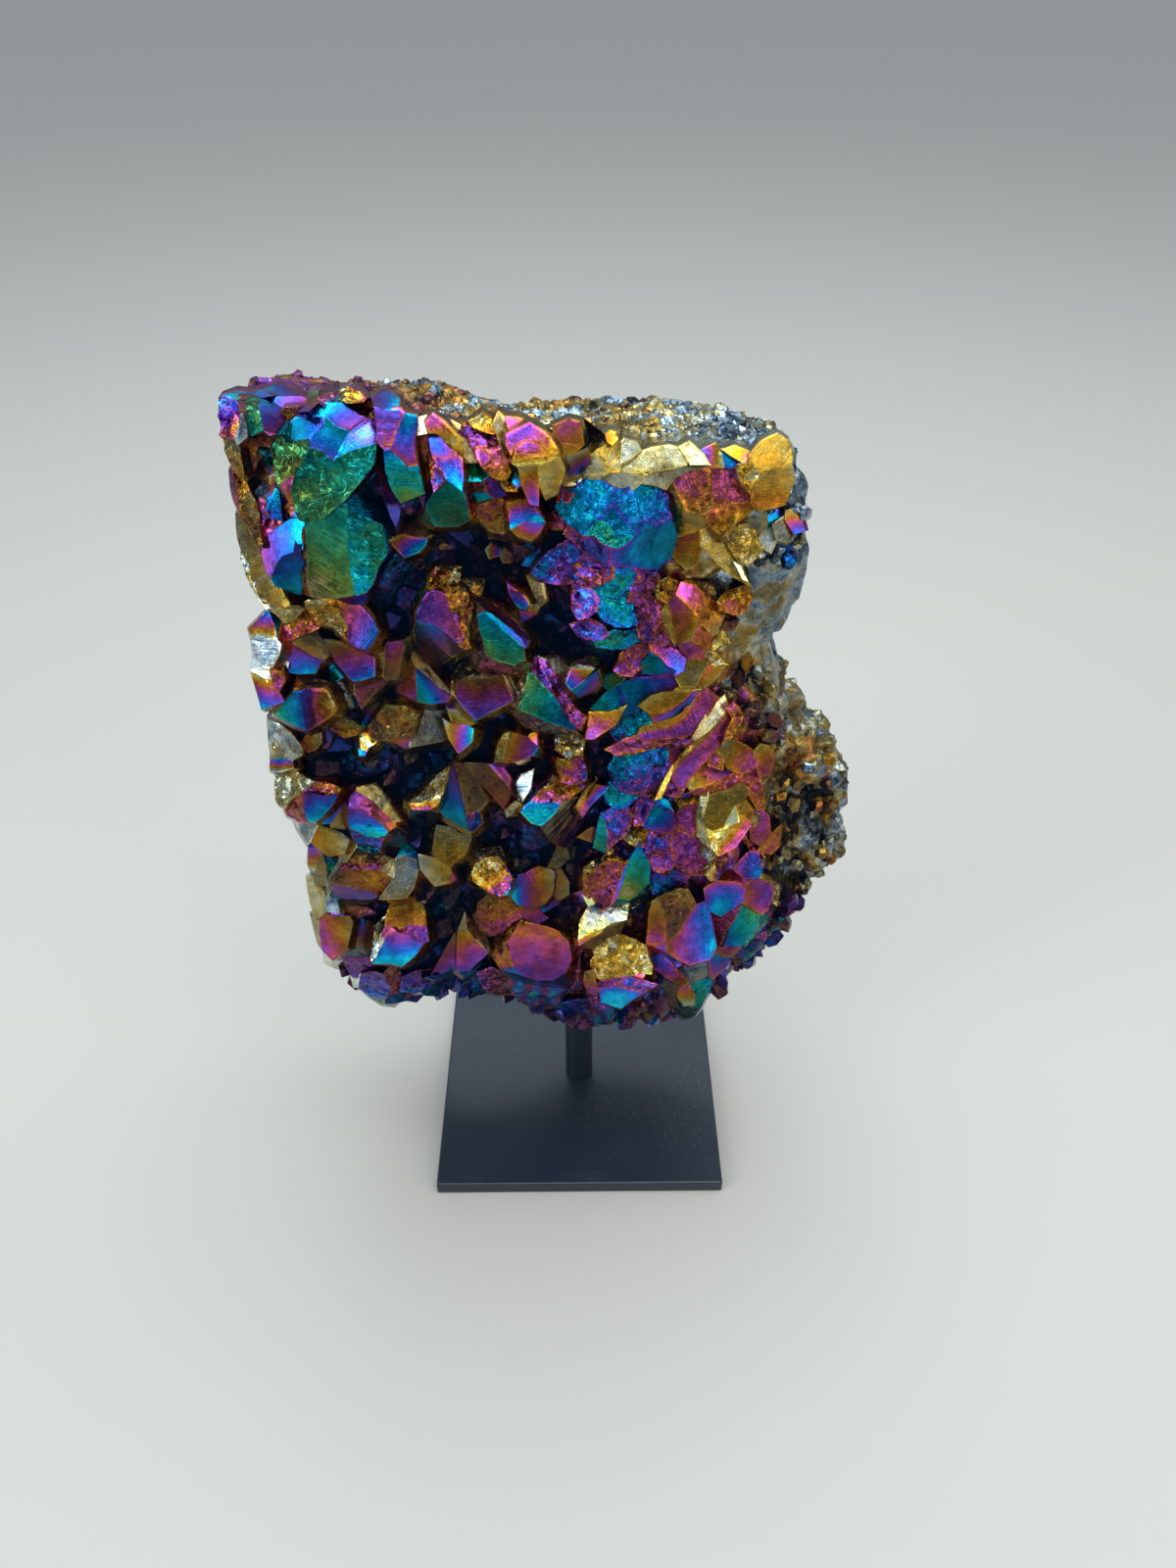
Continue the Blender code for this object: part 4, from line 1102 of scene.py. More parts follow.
# small crystals where no drawn facet is, and on the plain rock
def buildSmall(masters, loops):
    chance = random.Random(smallValues["seed"])
    picks = np.random.default_rng(smallValues["seed"])
    x, z = [picks.uniform(*smallValues[side], smallValues["tries"]) for side in "xz"]
    rim = rimDistance(x, z)
    keep = inLoop(x, z, outline) & (rim > smallValues["rim"])
    y = smallValues["depth"] - np.minimum(rim, 6) * 0.6 - picks.uniform(0, 2.5, len(x))
    px, py = seenAt(np.stack([x, y, z], 1))
    keep &= bareAt(px, py) < 0.4
    for loop in loops:
        keep &= ~inLoop(px, py, loop)
    rows, taken = [], []
    for x, y, z in zip(x[keep], y[keep], z[keep]):
        if any((x - a) ** 2 + (z - b) ** 2 < smallValues["apart"] ** 2 for a, b in taken):
            continue
        taken.append((x, z))
        out = Vector((x / 130, -1, (z - 95) / 200))
        rows.append({
            "master": chance.randrange(len(masters)),
            "width": chance.uniform(*smallValues["width"]), "length": chance.uniform(*smallValues["length"]),
            "axis": out + Vector((chance.gauss(0, 0.25), 0, chance.gauss(0, 0.25) + 0.15)),
            "spin": chance.uniform(0, 6.3), "tip": (x, y, z),
            "run": chance.uniform(-0.06, 0.03), "grain": chance.choice([0.1, 0.4, 0.8]),
        })
    plain = len(rows)
    for count, depth, films, (left, top, right, bottom) in strewn:
        for k in range(count):
            ray = sightLine(chance.uniform(left, right), chance.uniform(top, bottom))
            tip = eyePlace + ray * ((depth - chance.uniform(0, 1.2) - eyePlace.y) / ray.y)
            if not inLoop(np.array([tip.x + 1.5]), np.array([tip.z]), outline)[0]:
                continue
            rows.append({
                "master": chance.randrange(len(masters)),
                "width": chance.uniform(*smallValues["strewnWidth"]),
                "length": chance.uniform(*smallValues["strewnLength"]),
                "axis": Vector((chance.gauss(0.4, 0.5), -1, chance.gauss(0.5, 0.5))),
                "spin": chance.uniform(0, 6.3), "tip": tuple(tip),
                "run": 0.0, "grain": 0.3, "film": chance.choice(films), "shade": chance.uniform(0.35, 0.75),
            })
    values = patchValues(np.array([row["tip"] for row in rows[:plain]]), smallPatches)
    gaps = openAt(*seenAt([row["tip"] for row in rows[:plain]]))
    for row, value, gap in zip(rows, values, gaps):
        # brown or deep blue in the gaps and larger there, with painted shade making them darker
        row["film"] = value[0] + chance.gauss(0, 0.07)
        row["film"] += (chance.choice(smallValues["gapFilms"]) - value[0]) * gap
        row["shade"] = value[1] * chance.uniform(0.6, 1.2) * (1 - smallValues["gapShade"] * gap)
        row["width"] *= 1 + smallValues["grow"] * gap
        row["length"] *= 1 + smallValues["grow"] * gap
    print("  small crystals:", len(rows))
    return scatter("crystal_cluster_small_points", masters, rows)


# the fine crystals: the most on each side, their sizes in mm as a least and a spread, and their limits
sugarValues = {
    "seed": 5, "top": 2100, "right": 190, "left": 400, "under": 380, "size": (0.4, 1.7),
    "rightSize": (0.5, 1.2), "width": 0.7, "length": 0.5, "lift": 0.45, "skip": 0.25, "plainSkip": 0.75,
    "lean": 0.3, "thinnest": (0.03, 0.06), "reach": (-52.1, 51.5), "highest": 165.2,
}


# fine crystals on the top, the flanks and the underside
def buildSugar(masters):
    chance = random.Random(sugarValues["seed"])
    rock = bpy.data.objects["crystal_cluster_rock"].data
    co, normals = meshArrays(rock)
    bare = bareAt(*seenAt(co))
    order = list(range(len(co)))
    chance.shuffle(order)
    rows, counts = [], {"top": 0, "right": 0, "left": 0, "under": 0}
    for index in order:
        x, y, z = co[index]
        nx, ny, nz = normals[index]
        if y > 12 or y < -11:
            continue
        if nz > 0.35 and z > 148:
            side = "top"
        elif x > 30 and z < 112 and (nx > 0.2 or bare[index] > 0.6):
            side = "right"
        elif x < -46 and nx < -0.4:
            side = "left"
        elif z < 60 and nz < -0.3 and math.hypot(x, y) > 7:
            side = "under"
        else:
            continue
        if counts[side] >= sugarValues[side] or chance.random() < sugarValues["skip"]:
            continue
        # the mauve left end of the top is nearly plain
        if side == "top" and x < -24 and chance.random() < sugarValues["plainSkip"]:
            continue
        counts[side] += 1
        least, spread = sugarValues["size"]
        size = least + spread * chance.random() ** 4
        if side == "right":
            least, spread = sugarValues["rightSize"]
            size = least + spread * chance.random() ** 2
        axis = Vector((nx, ny, nz)) + Vector([chance.gauss(0, sugarValues["lean"]) for k in range(3)])
        tip = Vector((x, y, z)) + axis.normalized() * size * sugarValues["lift"]
        tip.x = min(max(tip.x, sugarValues["reach"][0]), sugarValues["reach"][1])
        tip.z = min(tip.z, sugarValues["highest"])
        rows.append({
            "master": chance.randrange(len(masters)), "width": size * sugarValues["width"],
            "length": size * sugarValues["length"], "axis": axis, "spin": chance.uniform(0, 6.3),
            "tip": tuple(tip), "run": 0.0, "grain": chance.choice([0.1, 0.5, 1.0]),
        })
    tips = np.array([row["tip"] for row in rows])
    values = patchValues(tips, topPatches)
    drift, light = noiseAt(tips, 5.0, 2, 51), noiseAt(tips, 6.0, 2, 52)
    for row, value, shift, glow in zip(rows, values, drift, light):
        row["film"] = value[0] + chance.gauss(0, 0.025) + shift * 0.06
        # patches of the thinnest film, steel blue
        if shift + chance.gauss(0, 0.1) < -0.2 and value[0] < 0.3:
            row["film"] = chance.uniform(*sugarValues["thinnest"])
        row["shade"] = value[1] * chance.uniform(0.5, 1.5) * (0.95 + glow * 1.1)
    print("  sugar crystals:", counts)
    return scatter("crystal_cluster_sugar", masters, rows)


# The crystals, drawn as the camera sees them. Each group has a window of the frame, with its left and top in
# pixels and its zoom. Each crystal is the depth of its middle in mm and then its facets. A facet is its
# finish (0 smooth, 1 striated, 2 rough, 3 crinkled), its sideways and upward tilt, its film at two ends, the
# way from one to the other in degrees, its brightness, and its corners' x and y in tens of window pixels.
# The brightness is painted light and shade: a facet that shows a highlight gets a bright colour, one in
# shade a dark one.
leftPoints = [
{"left": 215, "top": 380, "zoom": 7.5, "crystals": [
[-20, (2,.05,.35,.76,.86,270,.95, 62,88,66,76,72,66,76,58,84,60,93,68,103,62,126,54,125,68,119,77,103,95,
  85,110,77,112,70,109,64,100),
 (0,-.5,1.3,.64,.57,240,.8, 84,60,76,58,74,52,87,40,88,34,96,42,106,45,100,55,93,68),
 (0,.3,1.5,.62,.47,300,.75, 88,34,90,24,95,17,104,24,113,33,120,36,106,45,96,42),
 (1,.9,1.4,.53,.6,240,1.7, 93,68,100,55,106,45,120,36,125,38,126,54,103,62),
 (0,-.6,1.3,.68,.56,10,1.6, 76,58,74,52,56,55,53,48,54,42,66,36,80,34,88,34,87,40),
 (1,-1,1.6,.44,.6,0,1.5, 54,42,66,36,72,32,80,24,90,24,88,34,80,34)],
[-17.5, (2,-.5,.3,.84,.9,270,.75, 53,48,56,55,74,52,76,58,72,66,66,76,60,80,55,86,51,80,49,62,50,52),
 (2,-.9,-.1,.36,.3,270,.8, 55,86,60,80,66,76,62,88,64,100,60,98)],
[-19.5, (1,-.05,.15,.9,.8,60,.95, 75,120,85,112,97,106,103,105,104,120,104,135,106,150,110,171,90,171,
  78,170,74,160,74,140),
 (2,.35,.2,.74,.76,0,.75, 103,105,112,108,122,112,131,117,133,137,127,150,123,162,118,168,110,171,106,150,
  104,135,104,120),
 (1,.5,1.2,.62,.68,90,.5, 103,105,100,98,110,87,119,77,126,70,130,80,133,95,138,110,141,116,138,126,133,137,
  131,117,122,112,112,108),
 (0,0,-.7,.44,.62,290,.8, 90,171,110,171,118,168,120,172,117,176,104,176),
 (2,-1.1,.1,.33,.28,270,.7, 75,120,74,140,74,160,78,170,72,168,70,150,71,125)],
[-16, (0,.8,.5,.42,.46,270,.4, 126,54,134,58,136,72,140,90,144,102,141,116,138,110,133,95,130,80,126,70)],
[-17, (0,-.5,.5,.47,.66,0,.7, 40,128,48,121,58,117,66,116,71,120,71,135,62,135,55,140,50,146,47,158,42,150,
  39,138),
 (0,.1,0,.6,.63,290,.42, 50,146,55,140,62,135,68,138,71,145,70,160,66,168,56,166,49,162,47,158),
 (1,-.3,1.6,.4,.46,0,1.8, 50,146,52,141,57,136,63,133,71,135,62,136,55,141),
 (2,-.6,.9,.3,.42,200,.8, 37,121,41,113,46,111,53,113,55,114,48,121,40,128,37,126)],
[-15, (0,-.3,.3,.66,.62,270,.7, 43,99,46,94,51,90,52,98,54,113,46,111,41,106),
 (0,-.5,1.6,.07,.62,200,1.6, 43,99,46,92,50,88,51,90,46,94),
 (2,-.8,.5,.42,.4,270,1, 35,115,37,105,41,98,43,99,41,106,41,113,37,121)],
[-14, (2,.2,.2,.4,.3,270,.7, 53,90,58,86,61,92,62,105,58,114,54,113,52,98)],
[-17, (3,-.8,.4,.6,.34,290,1.3, 7,22,10,18,14,20,17,30,20,37,19,50,14,49,9,45,7,32),
 (0,.1,.7,.05,.08,270,.75, 19,50,20,37,24,33,26,42,26,50,21,54),
 (0,-.2,2.2,.63,.6,0,2.2, 10,18,20,15,34,17,36,15,44,18,33,19,24,20,14,20)],
[-17.5, (2,-.1,.4,.85,.78,270,.7, 24,20,33,19,42,20,36,26,38,32,42,38,36,42,30,46,27,46,25,35),
 (0,.5,.5,.62,.4,300,.8, 42,20,44,19,56,27,57,34,51,42,47,44,42,38,38,32,36,26),
 (0,.1,1.4,.66,.42,340,.85, 36,16,50,10,56,11,63,15,70,22,66,26,56,27,44,19,42,20)],
[-14, (2,.2,.2,.25,.3,0,.5, 56,28,66,27,62,33,56,36,52,40,52,34)],
[-13, (2,.2,.1,.36,.22,300,.5, 21,54,28,50,34,48,44,46,46,52,38,60,34,72,28,82,24,78,22,65)],
[-14.5, (2,-1,.4,.14,.26,270,.7, 10,50,14,49,21,54,22,65,24,76,20,77,15,68,12,60)],
[-13.5, (1,-1.2,.3,.37,.34,270,.7, 15,80,17,80,21,95,25,108,22,107,18,98,16,90),
 (3,.1,.8,.2,.27,270,.6, 17,80,20,79,26,84,30,92,34,101,36,108,37,120,39,132,34,128,29,117,25,108,21,95)],
[-14, (1,-.9,.5,.14,.22,290,.8, 20,113,24,112,29,120,34,130,40,142,46,156,53,166,60,178,55,180,45,176,
  38,168,32,158,29,146,24,136,21,126),
 (3,-1.3,1.4,.1,.18,0,1, 24,136,29,146,32,158,38,168,45,176,40,176,34,168,28,156,24,142)],
[-13, (3,.2,1.4,.12,.32,0,1.1, 96,15,105,12,113,15,117,19,114,22,105,23,98,20)],
[-14, (2,.3,.9,.27,.46,300,.7, 83,14,95,15,92,21,87,25,82,22),
 (0,-.4,1.3,.1,.42,260,1, 72,17,80,13,83,14,82,22,76,28,70,28)],
[-15, (0,.3,1,.45,.62,0,1.1, 126,18,132,14,138,16,143,20,143,25,139,29,132,29,127,26),
 (1,.2,.8,.44,.43,270,.95, 127,26,132,29,139,29,148,31,146,38,142,45,140,57,133,58,127,52,130,45,127,35)],
[-12, (3,.2,1.2,.44,.18,330,.7, 104,24,114,22,126,24,127,35,120,36,113,33)],
]},
{"left": 255, "top": 590, "zoom": 8, "crystals": [
[-16, (1,-.9,1.2,.62,.07,260,1.6, 0,42,14,28,20,40,20,48,10,52,2,50),
 (0,.3,.9,.6,.62,270,1.1, 14,28,18,31,22,42,20,48,20,40),
 (1,-.5,.8,.07,.06,270,1.6, 2,50,10,52,20,48,24,54,22,64,18,72,10,70,3,62)],
[-15.5, (0,.2,1.1,.62,.06,270,1.5, 20,48,26,42,30,52,31,64,30,72,26,70,24,54),
 (3,0,.3,.16,.45,270,1.1, 17,66,22,64,26,70,26,86,24,90,19,85,17,76)],
[-16, (0,-.5,.3,.16,.6,260,1.4, 1,75,6,78,12,82,18,85,22,92,26,99,22,102,15,104,10,106,8,98,5,88),
 (0,-.4,1.5,.06,.1,0,1.5, 3,62,10,70,18,72,17,76,18,85,12,82,6,78,1,75)],
[-14, (2,-.9,.4,.05,.12,270,.7, 8,112,20,118,30,128,38,140,38,146,34,148,24,146,17,148,10,134),
 (0,-.8,1.3,.63,.07,270,1.6, 17,148,24,146,34,148,34,153,24,156,17,156)],
[-13.5, (1,-.8,.5,.14,.17,300,.8, 4,2,9,0,17,6,27,13,33,19,36,24,40,26,35,32,30,33,24,30,18,24,12,17,8,9),
 (1,-1.2,1.5,.06,.1,300,1.7, 2,2,4,2,8,9,12,17,18,24,24,30,20,30,14,25,9,17,5,9)],
[-16, (3,-.2,.5,.14,.43,270,1.05, 26,52,24,46,28,40,36,38,42,28,48,27,51,32,53,38,48,42,40,46,34,50,30,52)],
[-17.5, (0,-.2,.1,.37,.56,270,.7, 31,52,40,57,48,62,56,66,55,72,53,76,40,77,32,76,30,64),
 (1,.3,1.2,.12,.24,240,.5, 31,52,36,48,46,44,54,45,60,52,64,56,60,62,56,66,48,62,40,57)],
]},
{"left": 255, "top": 590, "zoom": 10, "crystals": [
[-15, (0,0,-.3,.38,.36,0,.45, 28,12,40,15,52,18,62,19,58,22,50,24,46,30,40,28,32,20)],
[-18.5, (0,.5,.4,.25,.52,340,.8, 84,18,88,17,98,18,104,24,114,32,124,41,130,54,124,62,118,68,110,66,103,60,
  100,48,92,34),
 (3,-.3,.6,.17,.19,0,.75, 62,27,70,24,78,20,84,18,92,34,100,48,103,60,94,58,86,50,76,46,68,42,64,36)],
[-17.5, (1,.1,.5,.17,.58,285,.75, 82,67,92,69,104,74,116,80,122,84,122,100,112,103,106,104,98,96,90,84)],
[-16, (2,.1,.2,.38,.33,0,.42, 108,104,120,102,136,107,128,114,120,120,112,128,108,120),
 (0,-.8,.2,.13,.2,270,.5, 88,86,92,84,98,96,106,104,108,120,104,114,98,104)],
[-15, (0,.1,0,.62,.66,270,.8, 81,88,84,82,88,86,93,96,88,100,83,96)],
[-17, (0,.3,.2,.37,.27,300,.45, 140,68,152,66,154,76,150,90,148,102,142,102,138,90),
 (0,-.6,.3,.16,.24,0,.6, 118,70,128,72,134,74,140,68,138,90,142,102,134,92,126,80)],
[-19, (0,-.5,.3,.77,.6,10,.7, 32,138,40,126,46,118,52,114,54,126,56,140,54,152,44,146),
 (0,.1,.3,.5,.43,0,.62, 52,114,60,112,64,116,64,130,66,147,54,152,56,140,54,126),
 (0,.5,.3,.35,.22,10,.6, 60,112,72,108,80,118,86,130,82,138,66,147,64,130,64,116),
 (2,.1,1.3,.22,.2,0,.45, 46,118,54,100,64,103,76,106,72,108,60,112,52,114)],
[-15.5, (3,.6,.3,.13,.1,0,.38, 76,106,84,108,96,112,104,122,106,130,94,134,86,138,86,130,80,118),
 (0,.9,.1,.6,.62,0,.5, 96,112,104,116,112,128,106,130,104,122)],
[-15.5, (0,0,.3,.43,.17,20,.65, 52,174,56,165,62,158,69,152,71,156,71,168,66,174,56,177)],
[-15, (2,0,.3,.17,.36,250,.6, 80,142,88,143,98,146,108,150,114,155,106,158,96,161,88,156,84,150)],
[-16, (0,.3,1.5,.63,.08,230,1.9, 118,159,124,154,132,153,133,160,126,168,120,172),
 (0,-.2,1,.07,.2,240,1.4, 113,165,118,159,120,172,118,176,114,176),
 (0,.2,.9,.62,.62,0,1.3, 111,174,114,176,118,176,116,180,112,180)],
[-15, (0,-.2,.4,.1,.66,250,.4, 117,146,122,136,130,129,136,127,136,142,134,153,126,151,120,149)],
[-13, (0,0,.5,.22,.6,90,.3, 36,92,44,90,54,96,64,100,60,103,54,100,44,106,38,110)],
[-14, (0,.3,.2,.2,.58,0,.3, 72,150,76,146,80,150,80,162,78,172,73,172)],
]},
{"left": 400, "top": 580, "zoom": 7.5, "crystals": [
[-18.5, (1,-.3,.3,.42,.47,200,.9, 28,18,34,17,40,20,46,36,50,44,53,56,47,54,40,48,33,43,26,42,20,40,19,37,
  22,30,25,24),
 (1,.2,.2,.38,.28,330,.95, 46,36,50,34,52,44,56,52,58,58,54,61,51,58,53,56,50,44),
 (3,.1,1,.17,.26,250,.85, 30,6,34,0,52,0,50,12,56,16,60,26,54,34,50,34,46,36,40,20,34,17,28,18),
 (3,.9,.5,.17,.3,270,.9, 50,12,58,12,68,10,66,18,62,22,58,32,56,40,56,52,52,44,50,34,54,34,60,26,56,16),
 (0,-.2,-.5,.62,.3,290,.33, 20,40,26,42,33,43,40,48,47,54,53,56,54,61,44,66,34,71,28,70,22,58,18,47)],
[-19, (0,.1,.35,.7,.8,250,1.15, 66,36,71,33,76,38,84,46,92,53,99,59,100,65,98,72,94,74,85,72,76,69,72,66,
  70,56,67,46),
 (0,.5,.9,.62,.6,320,.9, 71,33,76,35,88,44,98,53,102,60,99,59,92,53,84,46,76,38),
 (2,-.9,.3,.26,.24,270,.36, 66,36,67,46,70,56,72,66,66,72,60,64,57,52,59,40,62,30,66,28,71,33),
 (1,.4,1.7,.27,.44,320,.38, 66,28,74,26,84,34,94,44,104,55,102,60,98,53,88,44,76,35,71,33),
 (2,.1,-.6,.34,.3,0,.45, 72,66,76,69,85,72,94,74,98,73,94,77,84,80,74,81,66,76,66,72)],
[-15.5, (0,.3,.3,.42,.6,250,1, 90,15,95,17,101,22,104,27,102,30,98,29,94,25,91,20),
 (0,.5,1.1,.36,.17,320,.75, 90,15,89,10,98,12,104,18,111,25,112,27,104,27,101,22,95,17)],
[-15, (0,.1,0,.14,.6,250,.55, 98,32,102,30,104,28,112,28,110,34,102,39,99,37),
 (0,.3,.4,.15,.2,270,.55, 107,8,112,7,116,14,118,24,114,27,110,18)],
[-17.5, (0,-.2,.2,.72,.4,30,.6, 19,88,20,76,28,84,36,92,42,97,40,100,30,101,20,100),
 (1,.3,1.4,.22,.14,320,.5, 17,66,21,70,30,77,40,90,42,97,36,92,28,84,20,76),
 (0,-.8,.2,.24,.36,270,.5, 19,88,20,100,14,98,4,95,6,90,12,80,17,70,20,76)],
[-19, (0,0,.3,.3,.5,275,.75, 52,86,56,84,68,84,76,83,84,83,88,90,90,98,86,102,76,108,66,114,60,110,
  54,104,50,98,50,90),
 (2,0,1.5,.15,.2,270,.5, 48,96,50,84,55,76,66,79,76,79,84,83,76,83,68,84,56,84,52,86,50,90,50,98),
 (0,.9,.1,.24,.3,270,.35, 84,83,88,84,92,92,93,100,90,98,88,90)],
[-17.5, (1,.1,.8,.09,.27,250,.95, 46,107,52,109,58,114,63,118,58,120,50,122,48,114),
 (1,.3,1.2,.6,.05,320,.6, 44,100,48,97,54,104,62,114,63,118,58,114,52,109,46,107),
 (0,.15,.6,.06,.6,350,1.6, 43,118,50,122,58,120,61,123,60,132,51,140,47,134)],
[-16, (1,.2,.5,.13,.1,0,.42, 17,118,24,110,32,103,38,104,42,112,42,122,34,132,24,134,14,136,16,126)],
[-17, (2,-.1,.3,.2,.26,270,.65, 0,106,10,107,18,112,17,118,16,126,14,130,4,130,-14,128,-16,120,-8,110),
 (0,.1,-.2,.25,.42,300,.7, -14,128,4,130,14,130,15,136,10,137,4,133,-4,130)],
[-19, (1,.15,.35,.79,.65,345,.72, 106,79,110,82,116,90,122,96,128,104,132,112,138,118,139,122,130,121,
  118,117,106,112,98,108,101,98,103,88),
 (3,.8,.8,.46,.34,320,.75, 106,76,106,70,112,68,120,72,126,80,130,88,135,98,136,104,146,112,142,119,138,118,
  132,112,128,104,122,96,116,90,110,82),
 (1,.3,1.6,.1,.06,0,.8, 112,68,118,69,126,68,136,70,134,76,130,82,126,80,120,72),
 (2,-.9,.3,.18,.24,270,.4, 106,79,103,88,101,98,98,108,94,105,97,92,103,80),
 (2,.1,-.7,.18,.22,270,.32, 98,108,106,112,118,117,130,121,139,122,134,125,118,122,100,117,94,110)],
[-18, (0,.1,.5,.19,.57,235,1.5, 137,87,140,79,154,77,147,85,140,91),
 (1,0,1.7,.1,.08,0,.9, 140,79,144,74,152,75,154,77),
 (0,.5,-.2,.7,.38,320,.42, 140,91,147,85,154,80,156,88,150,95,145,97)],
[-17.5, (0,.1,.3,.25,.43,0,.95, 90,126,98,128,104,130,107,132,111,137,108,142,100,145,92,147,87,145,88,136),
 (1,-.5,.5,.17,.19,0,.85, 80,145,82,134,86,128,90,126,88,136,87,145),
 (0,.6,.6,.27,.45,300,1.1, 104,130,106,129,110,128,110,136,111,137,107,132),
 (0,.9,0,.64,.66,0,.7, 111,137,113,141,110,143,108,142)],
[-16, (3,.1,.9,.12,.17,270,.85, 126,130,134,128,142,127,146,134,144,142,140,146,132,142,126,138),
 (3,.1,.4,.18,.5,330,.95, 128,154,132,146,140,146,144,142,147,152,146,162,138,165,130,163)],
[-13.5, (0,.2,.3,.6,.64,270,.28, 46,62,54,60,58,64,54,74,48,80,44,72),
 (0,-.3,.2,.25,.2,270,.22, 0,62,8,60,14,64,12,72,4,80,0,82)],
]},
{"left": 260, "top": 780, "zoom": 6.5, "crystals": [
[-18, (0,-.2,.3,.46,.64,290,1, 33,18,40,20,46,21,54,19,51,26,44,34,40,37,35,36,33,30),
 (3,0,1.1,.38,.26,0,.95, 33,18,38,12,48,13,56,16,54,19,46,21,40,20),
 (2,-.9,.2,.3,.36,270,.7, 33,18,33,30,35,36,30,37,22,33,20,28,24,22,30,19)],
[-15, (2,-.7,.6,.14,.1,300,.8, 10,6,20,4,32,8,38,12,33,18,30,19,24,22,20,28,16,26,13,16),
 (1,-.9,.2,.27,.24,270,.8, 8,8,10,6,13,16,16,26,12,20)],
[-16, (0,.3,.3,.4,.58,215,.6, 55,20,58,16,66,14,60,22,56,28,52,38,46,38,42,36,48,30),
 (0,.8,.2,.18,.17,0,.55, 56,28,60,23,61,36,57,42,52,41,52,38)],
[-18.5, (1,0,.1,.5,.65,265,1, 65,30,68,30,76,34,84,40,88,45,86,48,76,48,66,47,65,38),
 (1,.3,1,.39,.34,320,.85, 66,24,70,19,78,24,84,30,92,38,93,42,88,45,84,40,76,34,68,30,65,30),
 (1,.5,1.5,.17,.15,320,.85, 70,19,71,15,80,13,84,18,92,30,97,37,92,38,84,30,78,24),
 (3,0,-.4,.44,.66,240,.6, 66,47,76,48,86,48,84,55,78,57,72,54,68,52),
 (2,.9,-.1,.27,.25,270,.42, 88,45,93,42,99,46,98,54,92,62,86,60,84,55,86,48)],
[-16.5, (0,-.1,.2,.26,.11,15,.8, 38,46,42,41,50,43,58,46,60,50,58,58,50,59,44,54),
 (0,.1,1.4,.66,.64,0,.28, 42,41,42,38,50,39,60,43,60,50,58,46,50,43),
 (0,-.9,.8,.08,.06,0,1.1, 28,39,34,38,42,38,42,41,38,46,34,50,30,44)],
[-15, (1,-.9,.4,.62,.07,270,1, 36,56,42,54,43,62,41,70,38,72,36,66),
 (0,.2,.2,.2,.12,270,.5, 43,62,48,59,47,70,46,79,42,78,41,70),
 (0,.5,.4,.59,.61,270,.85, 48,59,55,60,52,68,50,74,47,74,47,70)],
[-18, (2,.2,.1,.25,.28,0,.68, 52,78,56,72,60,69,72,70,82,70,88,74,94,77,88,81,82,86,76,84,66,82,58,80),
 (2,.1,1.5,.43,.08,90,.5, 56,72,60,64,66,59,74,59,84,60,90,64,82,70,72,70,60,69),
 (0,.9,.9,.13,.15,0,.6, 82,70,90,64,93,66,94,77,88,74),
 (0,0,-.4,.43,.48,270,.62, 51,80,52,78,58,80,66,82,76,84,82,86,76,89,68,90,62,90,54,87),
 (0,-.1,-.8,.66,.7,270,.5, 51,80,54,87,62,90,68,90,76,89,72,92,62,93,53,92)],
[-17, (0,-.9,.8,.1,.12,270,.8, 50,76,56,66,62,52,66,46,64,58,60,64,56,72,52,78,50,84)],
[-17, (0,.2,.6,.09,.13,270,.75, 94,72,95,63,99,60,108,64,106,72,104,82,102,85,94,86,86,86,90,80),
 (1,.4,1.2,.62,.6,320,.8, 95,63,98,57,102,54,110,60,108,64,99,60)],
[-19, (0,0,.2,.51,.64,270,1.35, 87,115,95,112,102,113,108,117,111,118,106,126,100,131,90,130,81,131,
  84,122),
 (1,.2,.8,.4,.44,320,1, 86,108,90,107,96,109,104,106,113,108,114,117,111,118,108,117,102,113,95,112,
  87,115,84,114),
 (1,.1,1.3,.18,.3,280,1, 86,108,88,100,90,94,98,91,110,90,112,98,113,108,104,106,96,109,90,107),
 (3,-1,.3,.08,.1,270,.9, 84,114,87,115,84,122,81,131,78,126,79,116,80,108,84,104,88,100,86,108)],
[-17, (1,-.3,.2,.38,.24,20,.8, 41,102,45,99,52,101,60,101,64,106,62,116,58,124,52,130,46,124,43,112),
 (0,-.1,1.4,.46,.5,0,.9, 45,99,47,97,53,98,60,101,52,101),
 (0,-1,.2,.13,.16,270,.8, 41,102,43,112,46,124,42,118,38,102),
 (0,-.1,-.8,.12,.08,0,1, 46,124,52,130,58,124,59,130,52,134,46,131)],
[-14.5, (1,-.9,.6,.15,.17,290,1.1, 35,76,38,73,42,80,46,88,48,96,45,99,41,102,38,94,36,84),
 (0,.5,.6,.07,.09,270,.8, 42,80,47,82,52,84,53,92,53,98,47,97,46,88)],
[-15, (2,.2,1,.28,.3,0,.5, 54,97,62,95,70,96,75,99,68,101,60,100),
 (0,.4,.3,.6,.08,270,.3, 64,103,70,102,74,106,74,116,72,127,66,127,62,118),
 (0,.5,.2,.26,.17,270,.5, 74,104,79,106,80,112,79,124,76,126,74,116)],
[-15, (2,-.1,-.2,.38,.48,300,.55, 59,130,68,127,78,132,80,138,71,140,63,137)],
[-14.5, (2,-.2,-.3,.44,.6,250,.6, 71,140,80,138,88,141,90,149,86,156,76,153,69,147),
 (2,.3,-.2,.28,.38,290,.62, 88,141,94,134,98,142,97,150,93,155,86,156,90,149),
 (0,-.6,.9,.07,.1,0,1.2, 65,143,71,140,69,147,66,147),
 (2,0,-.9,.78,.84,270,.5, 76,153,86,156,93,155,90,159,83,158)],
[-14.5, (2,.2,-.2,.4,.58,270,.55, 98,142,106,138,115,137,121,142,116,147,106,151,97,150)],
]},
{"left": 420, "top": 780, "zoom": 6.5, "crystals": [
[-17.5, (3,-.1,.4,.14,.2,300,.7, 0,26,8,20,14,12,22,4,28,0,24,10,21,18,12,22,6,25),
